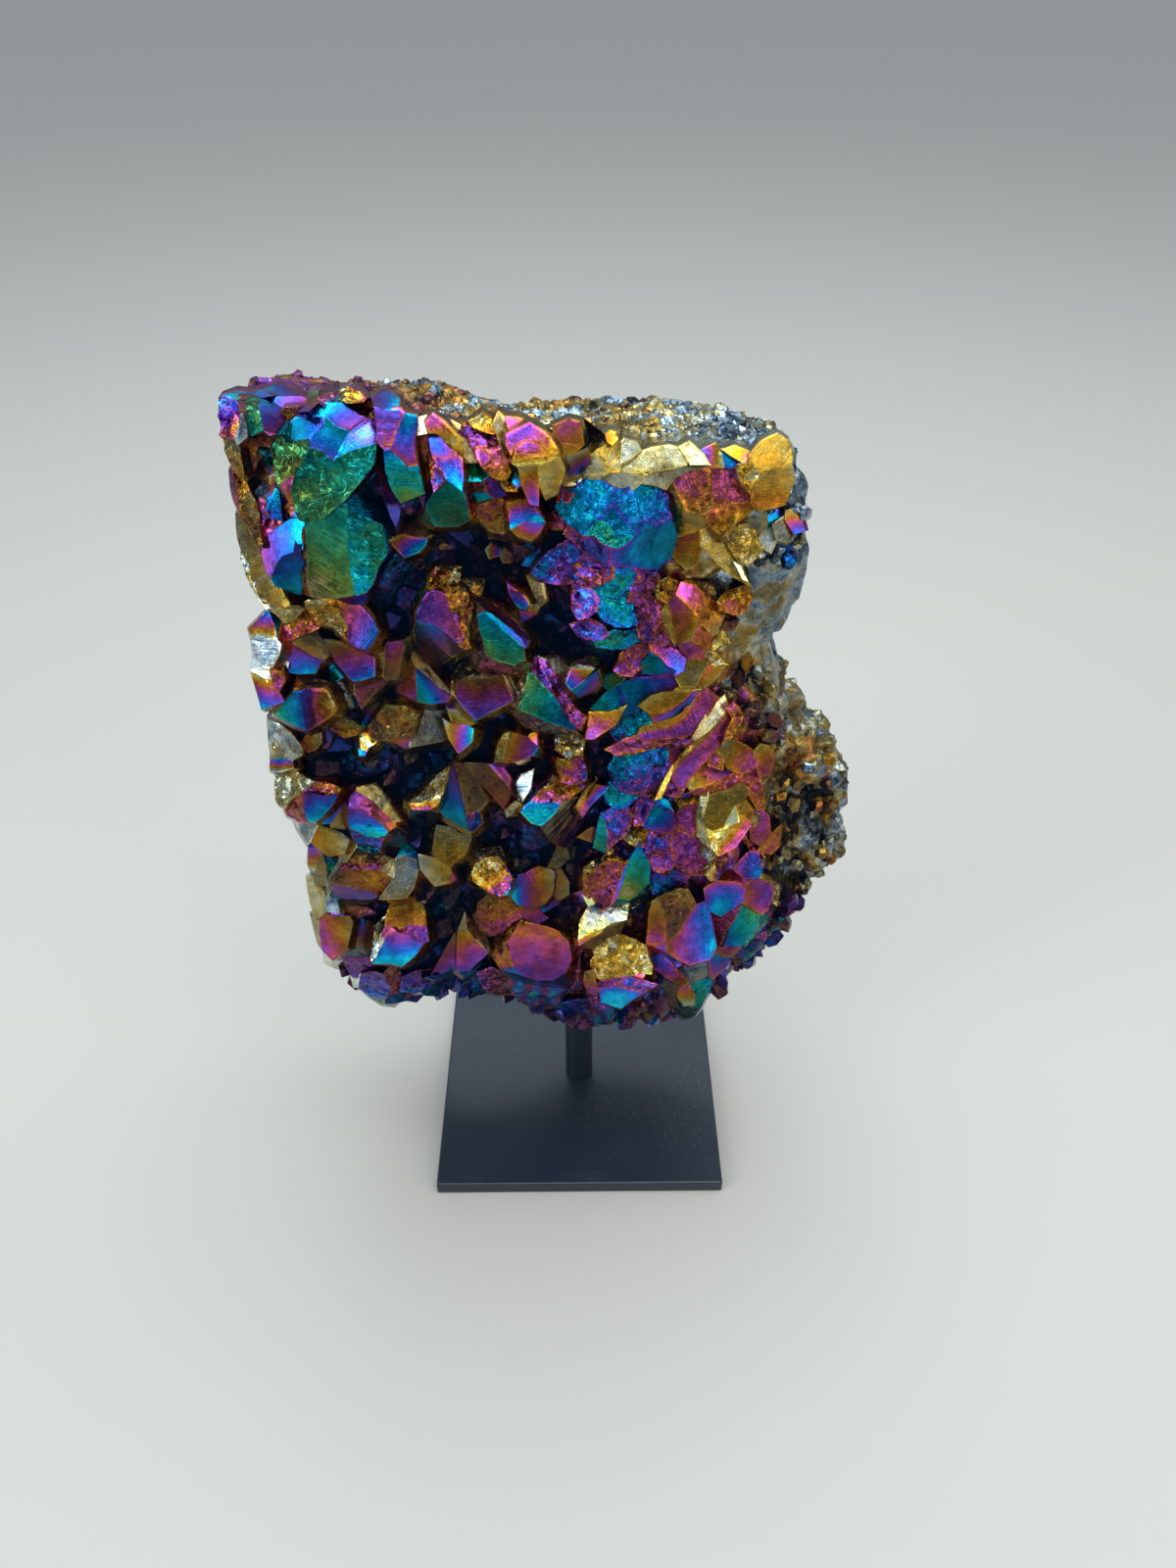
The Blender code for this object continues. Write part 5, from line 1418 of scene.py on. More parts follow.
 (3,-.1,.8,.15,.36,280,1.7, 0,26,6,25,12,22,21,18,17,27,12,30,0,30),
 (0,0,-.7,.18,.26,0,.35, 0,30,12,30,17,27,22,34,30,40,36,45,28,42,14,38,0,34)],
[-18, (0,-.5,.2,.4,.66,240,.28, 28,0,31,12,34,26,38,41,30,39,22,34,17,27,21,18,24,10),
 (0,.4,.2,.24,.19,330,.5, 28,0,37,1,42,12,48,26,44,31,40,32,34,26,31,12),
 (3,.3,-.2,.15,.62,330,.3, 34,26,40,32,44,31,46,38,42,42,38,41)],
[-17, (0,.3,.3,.24,.29,320,.55, 38,0,50,1,60,10,67,19,70,25,62,30,56,20,46,10),
 (0,.8,.8,.45,.34,320,.55, 50,1,60,0,68,12,70,25,67,19,60,10),
 (3,.1,-.2,.15,.17,0,.7, 62,30,66,26,70,28,68,33,63,34)],
[-19.5, (0,-.1,.5,.635,.64,270,2, 76,29,79,25,86,26,93,25,98,26,95,32,90,37,86,40,80,38,75,33),
 (3,.2,1,.4,.2,60,.95, 79,25,84,18,90,14,100,11,112,14,106,20,98,26,93,25,86,26),
 (3,.3,1.3,.16,.5,0,1.1, 90,14,95,6,97,2,106,0,114,4,116,10,112,14,100,11),
 (0,-.9,.5,.62,.46,60,1, 76,29,79,22,84,16,92,8,95,6,90,14,84,18,79,25),
 (1,.7,-.3,.14,.4,320,.32, 98,26,106,22,112,24,112,34,108,46,104,51,98,53,92,49,86,40,90,37,95,32)],
[-17, (1,-.8,.9,.07,.05,270,1.5, 72,14,76,6,80,4,79,11,74,20),
 (0,-.2,.4,.05,.1,270,.6, 72,22,76,18,79,22,76,29,73,30)],
[-16.5, (1,.3,.9,.2,.44,320,.7, 110,29,115,20,122,13,124,18,118,25,112,32)],
[-16.5, (0,0,.4,.11,.24,270,1, 16,46,17,42,24,43,29,46,31,49,39,48,36,56,33,61,29,64,22,60,15,55)],
[-16.5, (0,.2,.3,.1,.22,10,.85, 7,61,14,62,22,66,26,70,25,78,20,79,16,80,12,74,8,67),
 (0,.8,.2,.36,.38,0,.85, 22,66,27,70,29,76,25,78,26,70)],
[-18, (3,0,.4,.14,.4,300,1.4, 41,73,43,66,50,62,58,61,62,68,66,75,65,80,63,84,58,86,52,84,46,80,42,77),
 (0,.7,.3,.44,.63,270,1.4, 62,68,66,75,67,79,64,84,63,84,65,80),
 (2,0,1.5,.22,.14,0,.35, 43,66,44,58,52,56,58,55,60,60,62,68,58,61,50,62)],
[-17, (0,0,.2,.7,.36,10,.6, 66,77,70,75,76,73,80,80,82,94,72,92,66,84),
 (1,.3,.3,.34,.18,10,.62, 76,73,84,68,90,70,94,78,93,86,88,92,82,94,80,80)],
[-16, (0,-.2,.2,.26,.44,300,.42, 14,140,18,132,22,124,27,115,28,124,26,133,20,139),
 (0,.1,-.6,.6,.62,0,1, 12,141,20,139,26,133,26,138,18,142)],
[-17.5, (0,.1,.2,.26,.46,290,.95, 33,106,37,110,42,117,47,124,44,131,38,137,33,139),
 (0,.6,-.4,.61,.64,300,1.2, 33,139,38,137,44,131,47,124,47,131,41,139,35,141),
 (0,.6,1.2,.13,.2,300,.55, 33,106,35,101,41,106,48,115,51,121,47,124,42,117,37,110)],
[-16.5, (2,0,.3,.23,.36,280,.7, 45,92,50,88,58,86,64,88,70,92,74,98,66,102,60,108,54,110,48,106,44,100),
 (0,.4,.4,.36,.4,300,.65, 74,94,80,92,84,96,88,103,84,106,78,103)],
[-18.5, (0,.05,.15,.37,.4,270,.85, 64,118,70,108,78,105,90,107,98,111,104,118,106,130,102,138,94,143,
  82,143,74,140,68,134,66,126),
 (2,-.7,.3,.22,.33,270,.7, 55,128,58,117,64,109,72,104,78,105,70,108,64,118,66,126,68,134,60,135),
 (0,0,-.4,.45,.7,250,.6, 60,135,68,134,74,140,82,143,94,143,102,138,104,146,90,151,82,152,74,147),
 (2,.7,.3,.2,.36,250,.8, 98,111,104,111,111,119,118,127,119,135,114,142,104,146,102,138,106,130,104,118),
 (2,.2,1.2,.2,.26,0,.7, 72,104,78,101,86,104,96,108,104,111,98,111,90,107,78,105)],
[-15, (2,0,-.3,.42,.3,0,.5, 45,141,54,138,64,142,74,148,68,152,56,152,48,148)],
[-15, (0,.1,.4,.2,.14,0,.5, 92,66,96,57,102,56,104,62,100,66),
 (0,.3,.3,.08,.62,270,.35, 80,88,86,84,94,84,98,92,90,96,84,94)],
[-15, (0,.1,.2,.27,.2,0,.5, 92,84,95,74,100,72,104,78,104,86,98,90)],
[-13, (2,0,-.3,.36,.3,0,.5, 70,152,80,153,92,154,104,151,112,148,118,150,110,156,98,158,84,160,76,158)],
[-13, (2,0,-.3,.7,.42,0,.45, 94,160,104,158,116,156,123,158,123,168,112,167,102,165)],
]},
]
rightPoints = [
{"left": 380, "top": 400, "zoom": 7, "crystals": [
[-17, (0,.2,.9,.44,.43,270,1, 4,18,11,14,21,14,23,16,20,22,17,29,15,38,9,38,8,28),
 (0,.4,.7,.64,.46,270,.7, 17,29,20,22,23,16,29,17,30,24,29,34,30,45,32,52,25,53,20,47,14,42,15,38),
 (1,.1,.3,.7,.8,270,.9, 9,43,14,42,20,47,25,53,32,52,34,62,36,69,27,66,20,65,13,66,10,55),
 (0,0,-.1,.86,.9,270,.85, 13,66,20,65,27,66,36,69,28,74,21,78,18,74,15,70)],
[-16, (2,.3,.5,.35,.19,270,.9, 30,34,34,30,39,29,41,34,42,48,43,58,39,64,36,69,34,60,31,50),
 (0,.5,.2,.42,.5,270,.5, 36,69,39,64,43,58,43,62,44,71,41,80,37,82,35,76)],
[-15, (0,-.2,1.5,.06,.09,0,1.3, 31,19,35,18,39,22,39,29,34,30)],
[-16.5, (0,.1,.9,.43,.19,290,.95, 38,22,43,16,50,22,56,30,62,34,58,38,50,32,45,29,40,29),
 (1,0,.4,.21,.24,320,.8, 50,32,58,38,62,34,65,42,68,50,64,48,58,43,53,36),
 (1,.9,.6,.14,.06,0,.6, 62,34,66,36,70,44,73,50,68,50,65,42)],
[-17, (0,-.3,.8,.58,.46,0,.95, 40,29,45,29,50,32,53,36,58,43,56,47,50,48,44,48,42,40),
 (0,0,.9,.47,.68,260,1.15, 44,48,50,48,56,47,60,46,63,48,63,60,62,67,58,63,52,60,50,56,46,52),
 (3,-.6,.5,.42,.6,270,1.1, 41,48,44,48,46,52,50,56,52,60,48,66,44,71,43,62)],
[-18.5, (0,0,.15,.76,.82,270,.55, 39,82,44,71,48,66,52,64,57,66,62,69,64,80,66,92,60,95,46,95,43,90),
 (0,-.9,.1,.9,.88,270,.38, 35,88,39,82,43,90,46,95,40,93)],
[-16, (0,.1,1.4,.6,.7,270,1.5, 63,50,72,49,78,52,82,58,79,60,74,63,71,63,66,60,64,56)],
[-15, (3,0,1.2,.48,.42,0,1.1, 61,23,66,24,72,26,78,30,90,31,90,36,84,38,77,39,72,40,68,36,64,32)],
[-14.5, (3,.1,1,.16,.36,300,1.2, 72,20,78,16,82,20,86,25,85,28,80,27,74,24)],
[-14.5, (0,-.2,1.2,.1,.12,0,1.3, 56,26,58,22,62,24,61,30,58,30)],
[-17, (2,.2,.7,.4,.24,300,1.05, 77,40,84,38,92,36,95,45,98,57,95,62,90,62,85,58,80,52,84,50,84,44),
 (0,-.6,1.2,.38,.4,0,1.6, 71,40,77,40,84,44,84,50,80,52)],
[-15.5, (1,.9,.5,.11,.08,270,.9, 88,20,90,15,94,30,98,42,100,54,98,57,95,45,91,32),
 (0,.2,1.2,.12,.14,0,1.4, 90,15,93,17,97,26,96,30,94,30)],
[-14.5, (0,.2,1.1,.38,.36,0,1, 95,18,104,19,110,21,105,26,98,27)],
[-14.5, (0,.1,1.3,.06,.08,0,1.2, 125,27,130,26,131,31,128,33,125,31)],
[-18, (0,.1,1,.46,.27,300,1, 96,32,104,28,113,23,118,26,124,35,130,42,133,47,127,46,122,42,118,37,
  110,35,104,36,99,44,96,38),
 (1,0,.5,.48,.19,275,1.15, 104,36,110,35,118,37,122,42,127,46,124,51,118,53,110,52,103,48),
 (1,.7,.3,.18,.2,270,.9, 127,46,133,47,135,52,134,60,130,66,128,74,124,76,119,66,118,53,124,51),
 (0,-.1,.1,.19,.55,290,1, 107,53,110,52,118,53,119,66,118,78,112,77,108,68)],
[-17, (0,-.2,1.3,.62,.6,0,1.9, 102,58,107,57,108,62,104,66,101,63)],
[-16.5, (3,-.2,.6,.2,.3,0,1.2, 92,62,99,57,101,62,100,70,97,70,93,66)],
[-15.5, (0,.2,.7,.37,.27,280,.9, 131,24,140,20,148,22,150,38,143,45,139,46,136,35,132,30),
 (0,.1,-.2,.06,.66,300,.35, 136,48,139,46,143,45,150,42,152,50,147,57,140,58,136,54),
 (3,-.6,.6,.14,.16,0,1.1, 131,40,136,35,139,46,136,48,132,46)],
[-16.5, (0,-.4,.9,.44,.6,60,1.5, 136,78,137,70,141,66,146,64,145,70,140,78)],
[-15.5, (1,0,1.2,.14,.12,0,1.1, 134,62,146,59,152,60,150,64,142,66,136,66)],
[-16, (2,-.3,.2,.4,.38,0,.55, 126,92,130,86,137,82,141,88,141,96,134,98,128,97)],
[-16, (0,.3,.3,.46,.56,300,.7, 80,64,85,60,92,64,94,70,97,78,92,77,88,75,83,73),
 (0,0,-.2,.76,.84,250,.55, 69,76,74,73,80,72,83,73,88,75,84,78,78,80,70,83),
 (2,-.4,.5,.3,.28,0,.4, 80,64,83,73,80,72,74,73,72,68)],
[-15, (0,.1,.2,.62,.64,0,.45, 64,67,70,63,75,64,72,70,69,76,66,74)],
[-17, (2,0,.2,.37,.22,270,.6, 74,86,80,80,88,77,97,78,99,90,100,97,92,100,84,98,78,92)],
[-18, (1,.1,.5,.3,.72,285,.95, 97,80,104,80,112,81,118,86,122,93,108,92,99,94,98,86),
 (0,.2,-.2,.62,.26,250,.8, 99,94,108,92,122,93,118,101,115,104,106,101)],
[-13.5, (0,.1,.4,.07,.62,0,.5, 82,113,85,109,88,111,87,117,84,118)],
[-13.5, (0,.1,.4,.06,.42,0,.35, 91,115,95,112,99,116,98,121,94,121)],
[-13, (0,.1,.8,.6,.6,0,.8, 108,112,112,111,118,111,118,118,114,124,108,123,111,117)],
[-17, (0,.1,.3,.24,.7,310,.9, 14,103,22,102,30,104,38,105,37,109,32,114,23,117,18,112),
 (1,.1,1.5,.12,.14,0,.6, 14,103,16,98,20,92,28,90,36,94,39,104,38,105,30,104,22,102)],
]},
{"left": 540, "top": 380, "zoom": 6, "crystals": [
[-18, (2,-.2,.6,.7,.65,0,.6, 18,82,25,73,33,67,41,66,50,71,52,80,42,90,38,94,33,100,26,95,21,88),
 (2,0,.5,.79,.76,0,1.05, 38,94,42,90,48,92,55,102,60,100,66,98,62,103,55,108,50,107,44,104,40,100,33,100),
 (2,.3,.8,.66,.61,0,.6, 50,71,58,72,66,68,73,65,80,71,84,77,86,90,78,94,70,90,66,98,60,92,52,80),
 (2,.1,.5,.62,.7,270,.5, 52,80,60,92,66,98,60,100,55,102,48,92,42,90),
 (0,.2,-.1,.62,.64,0,.5, 55,108,62,103,66,98,70,90,78,94,86,90,89,100,86,112,80,118,72,120,62,119,52,118,
  48,112,50,107),
 (2,-.6,-.1,.42,.6,300,.5, 26,95,33,100,40,100,44,104,50,107,48,112,46,118,36,112,30,106,24,100)],
[-17, (3,-.1,.3,.62,.42,0,.75, 4,122,10,112,18,106,25,102,36,112,46,118,52,118,52,126,40,130,28,128,18,128,
  8,126),
 (3,.2,.2,.72,.66,0,.8, 52,118,62,119,66,124,62,132,54,138,46,137,40,130,52,126),
 (3,.5,.2,.45,.5,0,.7, 62,119,72,120,78,128,74,136,68,144,60,140,62,132,66,124)],
[-18, (3,.1,1,.45,.38,0,1.5, 27,119,33,116,43,124,43,129,36,128,30,124)],
[-16, (2,.1,.5,.4,.27,300,.9, 88,66,94,61,104,58,110,59,111,66,110,72,112,78,108,86,102,88,96,84,92,76),
 (2,.3,.4,.38,.36,0,.8, 110,59,120,60,130,61,134,66,136,77,128,79,118,80,112,78,110,72,111,66),
 (1,-.7,.2,.19,.22,270,.6, 82,70,88,66,92,76,96,84,102,88,106,93,100,98,92,100,89,92,86,84)],
[-15.5, (2,.2,.3,.35,.2,300,.9, 110,84,118,80,128,79,134,82,130,88,126,92,122,98,118,100,112,92)],
[-16, (0,-.1,.2,.3,.26,270,.8, 90,101,100,98,106,96,104,110,102,118,96,120,90,114,89,106),
 (1,.4,.6,.19,.17,300,.9, 106,96,108,94,113,98,118,106,124,114,130,124,133,128,124,122,116,117,108,108,
  104,110)],
[-14.5, (2,.2,.4,.16,.18,300,.75, 122,98,130,95,136,100,141,110,136,116,130,119,124,108),
 (0,.2,1.3,.07,.12,0,1.5, 124,114,130,119,133,126,130,124)],
[-14, (1,.3,.8,.19,.22,320,1.05, 138,48,142,43,147,40,152,38,158,42,161,50,160,58,152,59,144,60,139,55),
 (1,.4,.2,.16,.28,270,.85, 144,60,152,59,160,58,162,66,158,76,150,80,141,82,136,78,138,69),
 (3,-.1,.4,.22,.15,0,1.1, 129,58,134,56,139,55,144,60,138,69,136,74,131,70,129,64)],
[-15, (1,-.1,1,.15,.12,0,.95, 56,60,60,54,64,52,74,48,84,45,92,46,97,50,95,56,88,58,76,59,66,61),
 (0,0,.4,.1,.13,0,1.05, 44,66,52,62,56,60,66,61,72,63,68,68,62,73,56,74,50,72)],
[-15, (1,.2,.8,.24,.19,320,1, 42,48,48,44,54,41,56,45,55,55,54,60,48,60,45,54),
 (1,-.5,.7,.17,.14,270,.9, 36,53,42,48,45,54,48,60,42,64,36,64,35,58)],
[-14.5, (0,.5,1,.12,.1,270,1.3, 58,47,62,42,66,43,68,47,62,52,58,54)],
[-16, (0,.1,.6,.08,.11,0,.6, 68,68,72,63,84,61,92,59,104,56,108,58,98,60,90,64,84,71,78,69)],
[-15, (1,.1,1.3,.15,.1,300,.95, 92,46,98,43,104,48,108,56,101,56,96,52)],
[-14, (0,.1,1.2,.18,.34,320,1.1, 120,47,126,45,131,47,133,52,130,54,124,50)],
[-14, (0,0,.9,.62,.06,0,.9, 108,47,114,44,118,50,120,56,112,56),
 (0,.2,.9,.62,.6,0,.7, 118,50,126,52,131,54,130,56,120,56)],
[-14, (0,.1,1.2,.28,.24,0,.8, 47,38,50,36,53,37,54,41,51,44,48,42)],
[-11, (0,.4,.6,.6,.64,270,.8, 145,88,150,83,156,87,150,92,146,93)],
[-12, (0,0,.3,.07,.1,270,.8, 136,82,144,84,145,92,142,96,137,92)],
[-12, (0,.6,.3,.05,.12,0,.6, 150,94,156,90,160,97,158,104,152,102)],
[-12, (0,.1,.5,.08,.05,0,.7, 142,97,149,94,152,102,148,110,143,107)],
[-11, (0,.5,.5,.06,.62,270,.6, 160,84,166,82,168,90,170,96,164,98,160,92)],
]},
{"left": 590, "top": 590, "zoom": 6.5, "crystals": [
[-17.5, (3,-.2,.4,.42,.6,300,1.25, -4,10,0,4,8,8,14,14,12,22,6,26,0,27,-4,20),
 (3,.1,.3,.72,.67,300,.85, 10,0,24,-1,36,0,38,8,36,20,39,30,34,32,24,32,18,28,12,22,14,14,8,8),
 (3,-.2,.4,.45,.62,270,1, -5,31,0,28,8,27,16,31,20,36,19,40,10,41,0,38),
 (3,.1,-.2,.84,.68,0,.6, 20,36,24,35,30,36,38,34,37,41,28,46,20,46,12,45,10,41,19,40)],
[-18, (1,0,.6,.18,.5,255,1.7, 6,106,8,100,10,92,18,92,28,87,22,95,15,101,10,106)],
]},
{"left": 590, "top": 590, "zoom": 9.75, "crystals": [
[-16, (3,.3,.4,.44,.4,270,.65, 60,0,72,0,78,10,82,22,84,36,88,52,94,62,84,64,72,62,64,56,60,40,59,20),
 (3,-.3,.4,.62,.46,0,.7, 56,0,60,0,59,20,60,40,56,46,55,30,56,14)],
[-15, (3,.1,.7,.18,.3,300,1, 76,10,80,4,90,0,98,4,98,14,92,20,86,22,79,19)],
[-16.5, (0,.1,.2,.42,.22,320,.8, 92,26,98,20,108,26,116,36,118,46,114,56,104,60,98,58,94,46),
 (1,-.7,.3,.19,.22,270,.75, 82,36,87,29,92,26,94,46,98,58,94,62,88,54,84,44),
 (0,.4,.9,.38,.24,320,.85, 98,20,101,12,106,6,116,6,124,14,134,22,140,32,144,40,140,50,132,54,124,46,118,46,
  116,36,108,26),
 (1,.5,1.5,.18,.14,320,1.1, 106,6,110,2,120,4,130,10,136,20,134,22,124,14,116,6)],
[-14, (3,.2,.6,.22,.36,300,.95, 140,22,148,14,158,10,170,10,172,20,166,32,158,36,150,32,142,28)],
[-15.5, (2,.2,.1,.3,.36,0,.8, 114,58,118,48,122,46,132,54,130,64,124,66,116,62)],
[-15, (2,.1,0,.43,.4,270,.6, 100,64,112,64,122,68,120,78,110,78,102,70)],
[-14, (3,.2,.6,.15,.18,0,1.1, 136,58,146,56,150,64,142,68,136,66)],
[-14, (3,.2,.8,.15,.22,0,1.1, 122,74,130,78,144,82,148,86,136,86,124,82)],
[-15.5, (3,-.2,.5,.45,.42,0,.85, 37,90,42,79,50,71,58,67,66,66,72,70,70,80,62,88,52,94,42,95)],
[-16, (1,.3,.9,.36,.56,320,1.15, 72,66,80,68,90,74,100,78,106,84,104,92,98,95,92,88,84,80,76,74),
 (0,-.2,.1,.69,.66,0,.5, 66,82,70,78,76,74,84,80,92,88,90,93,80,95,68,94)],
[-15.5, (0,.1,.4,.2,.17,270,.9, 100,96,106,86,116,82,122,84,122,96,118,106,106,107),
 (1,.5,.3,.34,.24,320,.8, 122,84,134,84,146,88,140,96,130,104,122,108,118,106,122,96)],
[-15.5, (0,-.2,.4,.84,.86,0,.55, 21,104,26,98,34,95,40,95,40,102,34,107,26,107)],
[-16, (0,0,.3,.74,.66,0,.8, 16,127,24,118,34,112,46,107,47,120,44,132,36,133,26,131),
 (0,.1,.2,.64,.52,0,.7, 46,107,58,99,70,98,80,98,94,97,98,102,96,110,80,116,66,124,56,129,44,132,47,120),
 (2,.1,1.1,.42,.44,0,.75, 40,106,46,100,56,97,72,93,86,93,94,97,80,98,70,98,58,99,46,107)],
[-16.5, (1,.1,.4,.17,.29,300,.95, 62,126,72,118,84,114,97,113,110,112,104,122,92,130,82,134,72,133),
 (0,.2,1.5,.13,.15,0,1.9, 94,114,106,108,120,106,121,109,110,112,97,113),
 (1,.2,-.2,.32,.64,310,1, 72,133,82,134,92,130,104,122,110,112,118,112,112,124,102,134,88,140,76,140)],
[-16, (1,.1,.4,.43,.4,20,.8, 60,157,72,151,84,149,97,146,107,138,114,125,120,113,127,109,136,117,128,134,
  122,148,117,155,104,158,88,160,72,162,62,162),
 (1,0,1,.24,.3,20,.9, 60,157,62,150,76,146,92,142,104,135,110,124,118,112,120,113,114,125,107,138,
  97,146,84,149,72,151),
 (3,0,-.3,.36,.43,0,1.1, 34,170,46,163,60,157,62,162,72,162,88,160,104,158,117,155,113,161,100,165,84,166,
  70,169,58,172,46,174)],
[-15.5, (1,.5,.6,.13,.11,45,.9, 117,155,122,146,128,138,137,130,147,122,149,128,139,142,129,152,120,158)],
[-16, (1,.2,.3,.43,.39,60,.75, 92,197,100,185,112,173,125,160,137,148,150,133,154,140,148,152,138,164,
  127,177,116,190,106,204,98,206),
 (1,-.5,.9,.21,.19,50,.9, 80,214,86,201,96,187,108,176,120,162,132,148,146,132,150,133,137,148,125,160,
  112,173,100,185,92,197,85,212)],
[-15.5, (3,0,.3,.72,.46,300,.75, 30,188,36,178,50,176,64,176,80,167,88,165,92,176,88,190,80,206,70,216,
  56,214,44,212,36,204)],
[-15.5, (3,-.2,.4,.62,.7,0,.7, 36,158,44,141,56,133,66,130,72,138,76,142,70,148,54,158,40,164)],
[-15, (1,.2,.2,.44,.48,0,.6, 92,166,100,166,104,172,96,182,92,176)],
[-15, (3,.3,.3,.42,.3,320,.8, 150,133,158,128,164,136,160,148,152,156,146,160,148,152,154,140)],
[-15, (1,.1,.3,.18,.38,340,.9, 144,170,150,163,160,164,168,168,176,174,178,184,170,190,158,192,150,188,
  145,179)],
[-14.5, (0,.4,.3,.22,.37,320,.85, 176,172,182,166,190,168,194,180,190,194,182,196,178,186)],
[-15.5, (3,0,.5,.33,.3,0,1, 134,170,140,172,144,180,142,190,136,188,132,178)],
]},
{"left": 590, "top": 780, "zoom": 6.5, "crystals": [
[-17, (0,-.2,.5,.3,.62,320,1.5, 2,30,8,20,12,14,17,15,14,21,8,27)],
[-15.5, (3,0,.3,.7,.64,0,.7, 18,14,24,10,34,6,44,4,48,10,42,18,34,24,26,26,20,22)],
[-17, (1,-.6,.2,.76,.78,270,.7, 11,52,13,42,15,33,18,38,19,46,20,55),
 (3,.2,.3,.6,.45,300,.85, 15,33,22,31,30,30,33,36,30,44,24,50,20,55,19,46,18,38)],
[-15, (0,-.2,.2,.26,.28,0,.5, 3,49,8,44,12,41,11,52)],
[-18, (3,.1,.2,.3,.45,300,.85, 4,77,9,71,14,67,20,62,27,62,30,66,28,76,24,86,20,92,14,96,8,92,4,84),
 (3,0,1.2,.16,.2,0,.65, 4,77,4,69,10,64,18,60,24,60,27,62,20,62,14,67,9,71),
 (0,.8,.2,.62,.58,270,1.2, 30,66,31,68,28,79,25,87,21,92,20,92,24,86,28,76),
 (0,-.5,-.3,.5,.66,300,.9, 4,84,8,92,14,96,8,95,0,91,-2,86)],
[-19, (0,-.2,.9,.12,.16,0,1.6, 3,86,7,85,10,92,7,93)],
[-17, (0,0,.2,.65,.9,265,.7, 30,78,33,67,38,57,41,54,44,62,47,70,46,78,40,86,34,90,30,89,26,90),
 (2,.1,-.6,.84,.8,0,.3, 20,94,26,90,30,89,34,90,40,86,46,78,51,82,50,88,44,93,34,95,24,97)],
[-15.5, (3,0,.4,.42,.46,0,.8, 36,44,42,42,46,46,54,44,60,46,62,56,64,66,60,72,52,70,46,62,40,54)],
[-16, (2,.1,.3,.42,.4,0,.85, 62,56,64,46,68,42,74,46,79,52,88,58,92,66,88,72,80,72,72,70,66,68,64,66)],
[-15, (2,0,.1,.7,.42,0,.6, 60,72,64,66,66,68,74,72,73,78,64,82,56,84,54,80)],
[-15.5, (2,-.2,.1,.45,.68,300,.6, 45,72,52,70,58,73,54,82,49,84,46,80)],
[-15, (3,.1,.7,.19,.22,0,.8, 30,46,34,42,40,42,46,46,42,52,36,53,31,50)],
[-16, (0,.1,.3,.66,.42,310,.8, 46,37,50,28,56,28,62,32,64,40,62,46,54,44,48,42),
 (3,-.4,.6,.52,.42,0,.8, 38,32,42,24,46,18,50,22,50,28,46,37,40,37),
 (0,.2,1,.62,.66,0,.7, 48,14,52,20,58,26,62,32,56,28,50,28,50,22)],
[-15.5, (2,-.2,.3,.42,.36,300,.8, 64,40,66,32,70,27,76,24,79,30,79,50,74,46,68,42),
 (3,0,.9,.21,.24,0,.9, 60,26,66,22,74,20,80,22,76,24,70,27,66,32)],
[-15.5, (3,0,.4,.43,.38,0,.8, 50,8,56,0,66,0,72,8,66,18,58,18,52,14)],
[-15, (1,.1,.9,.2,.5,20,.9, 70,8,80,4,90,0,100,1,103,7,92,12,80,14,72,12),
 (2,.2,.4,.42,.34,330,.8, 80,14,92,12,103,7,112,6,118,10,112,17,100,21,88,20,76,17)],
[-14.5, (2,.3,.3,.4,.3,270,.75, 112,6,116,2,120,6,122,16,123,28,118,28,113,20)],
[-17.5, (0,.1,.5,.2,.24,270,.8, 83,36,86,24,92,19,100,17,108,13,112,17,110,24,104,27,100,34,96,42,89,44,
  85,42),
 (1,-.7,.3,.16,.14,270,.6, 79,34,81,26,86,21,86,24,83,36,85,42,90,54,84,50,79,44),
 (0,.4,1.2,.15,.13,270,2, 96,42,100,34,104,27,106,33,107,38,100,41),
 (3,0,.7,.15,.18,300,1.7, 85,42,89,44,96,42,100,41,96,46,93,50,92,56,90,54),
 (1,.3,.1,.18,.47,320,1.15, 100,41,107,38,110,34,113,38,110,46,104,54,97,58,92,56,93,50,96,46),
 (0,.8,.4,.22,.27,0,.85, 104,27,110,24,113,28,114,34,113,38,110,34,107,38,106,33)],
[-14.5, (1,.2,.3,.41,.38,270,.7, 115,34,121,30,126,34,127,44,122,50,116,46)],
[-14, (2,.3,.4,.22,.3,270,.8, 112,17,114,10,119,14,122,24,116,30,113,27)],
[-13.5, (2,.3,.2,.24,.38,300,.75, 123,58,128,51,134,45,133,54,128,59)],
[-17, (0,0,.2,.48,.64,280,.95, 87,80,92,77,98,78,104,78,110,80,109,86,102,92,95,97,89,94),
 (1,.1,1.2,.28,.38,0,.95, 88,79,92,74,98,70,106,73,114,74,110,80,104,78,98,78,92,77,87,80)],
[-16, (1,.3,.5,.43,.6,340,.8, 103,68,110,62,115,57,120,58,121,68,117,74,110,74),
 (3,.2,1.2,.34,.38,0,1.1, 113,54,120,54,122,60,120,58,115,57)],
[-16, (1,.3,.2,.38,.43,0,.75, 110,86,113,79,118,76,122,76,128,80,129,87,126,94,120,98,113,94),
 (0,.2,1.2,.15,.18,0,1, 115,75,122,73,127,75,128,80,122,76,118,76)],
[-15.5, (0,.1,.1,.66,.8,20,.6, 97,120,100,110,104,104,110,96,118,94,120,100,118,108,110,116,104,120),
 (2,.7,.1,.84,.8,0,.45, 118,94,124,96,125,104,119,112,112,118,110,116,118,108,120,100),
 (2,-.4,.4,.42,.36,300,.6, 88,104,96,100,106,97,110,96,104,104,100,110,97,116,91,112)],
[-18.5, (2,-.1,1.3,.06,.16,270,1.7, 2,104,6,97,14,97,22,96,30,94,29,99,23,105,16,109,8,112,1,113),
 (0,-.1,.7,.17,.42,275,1.6, 1,113,8,112,16,109,16,111,8,116,2,118),
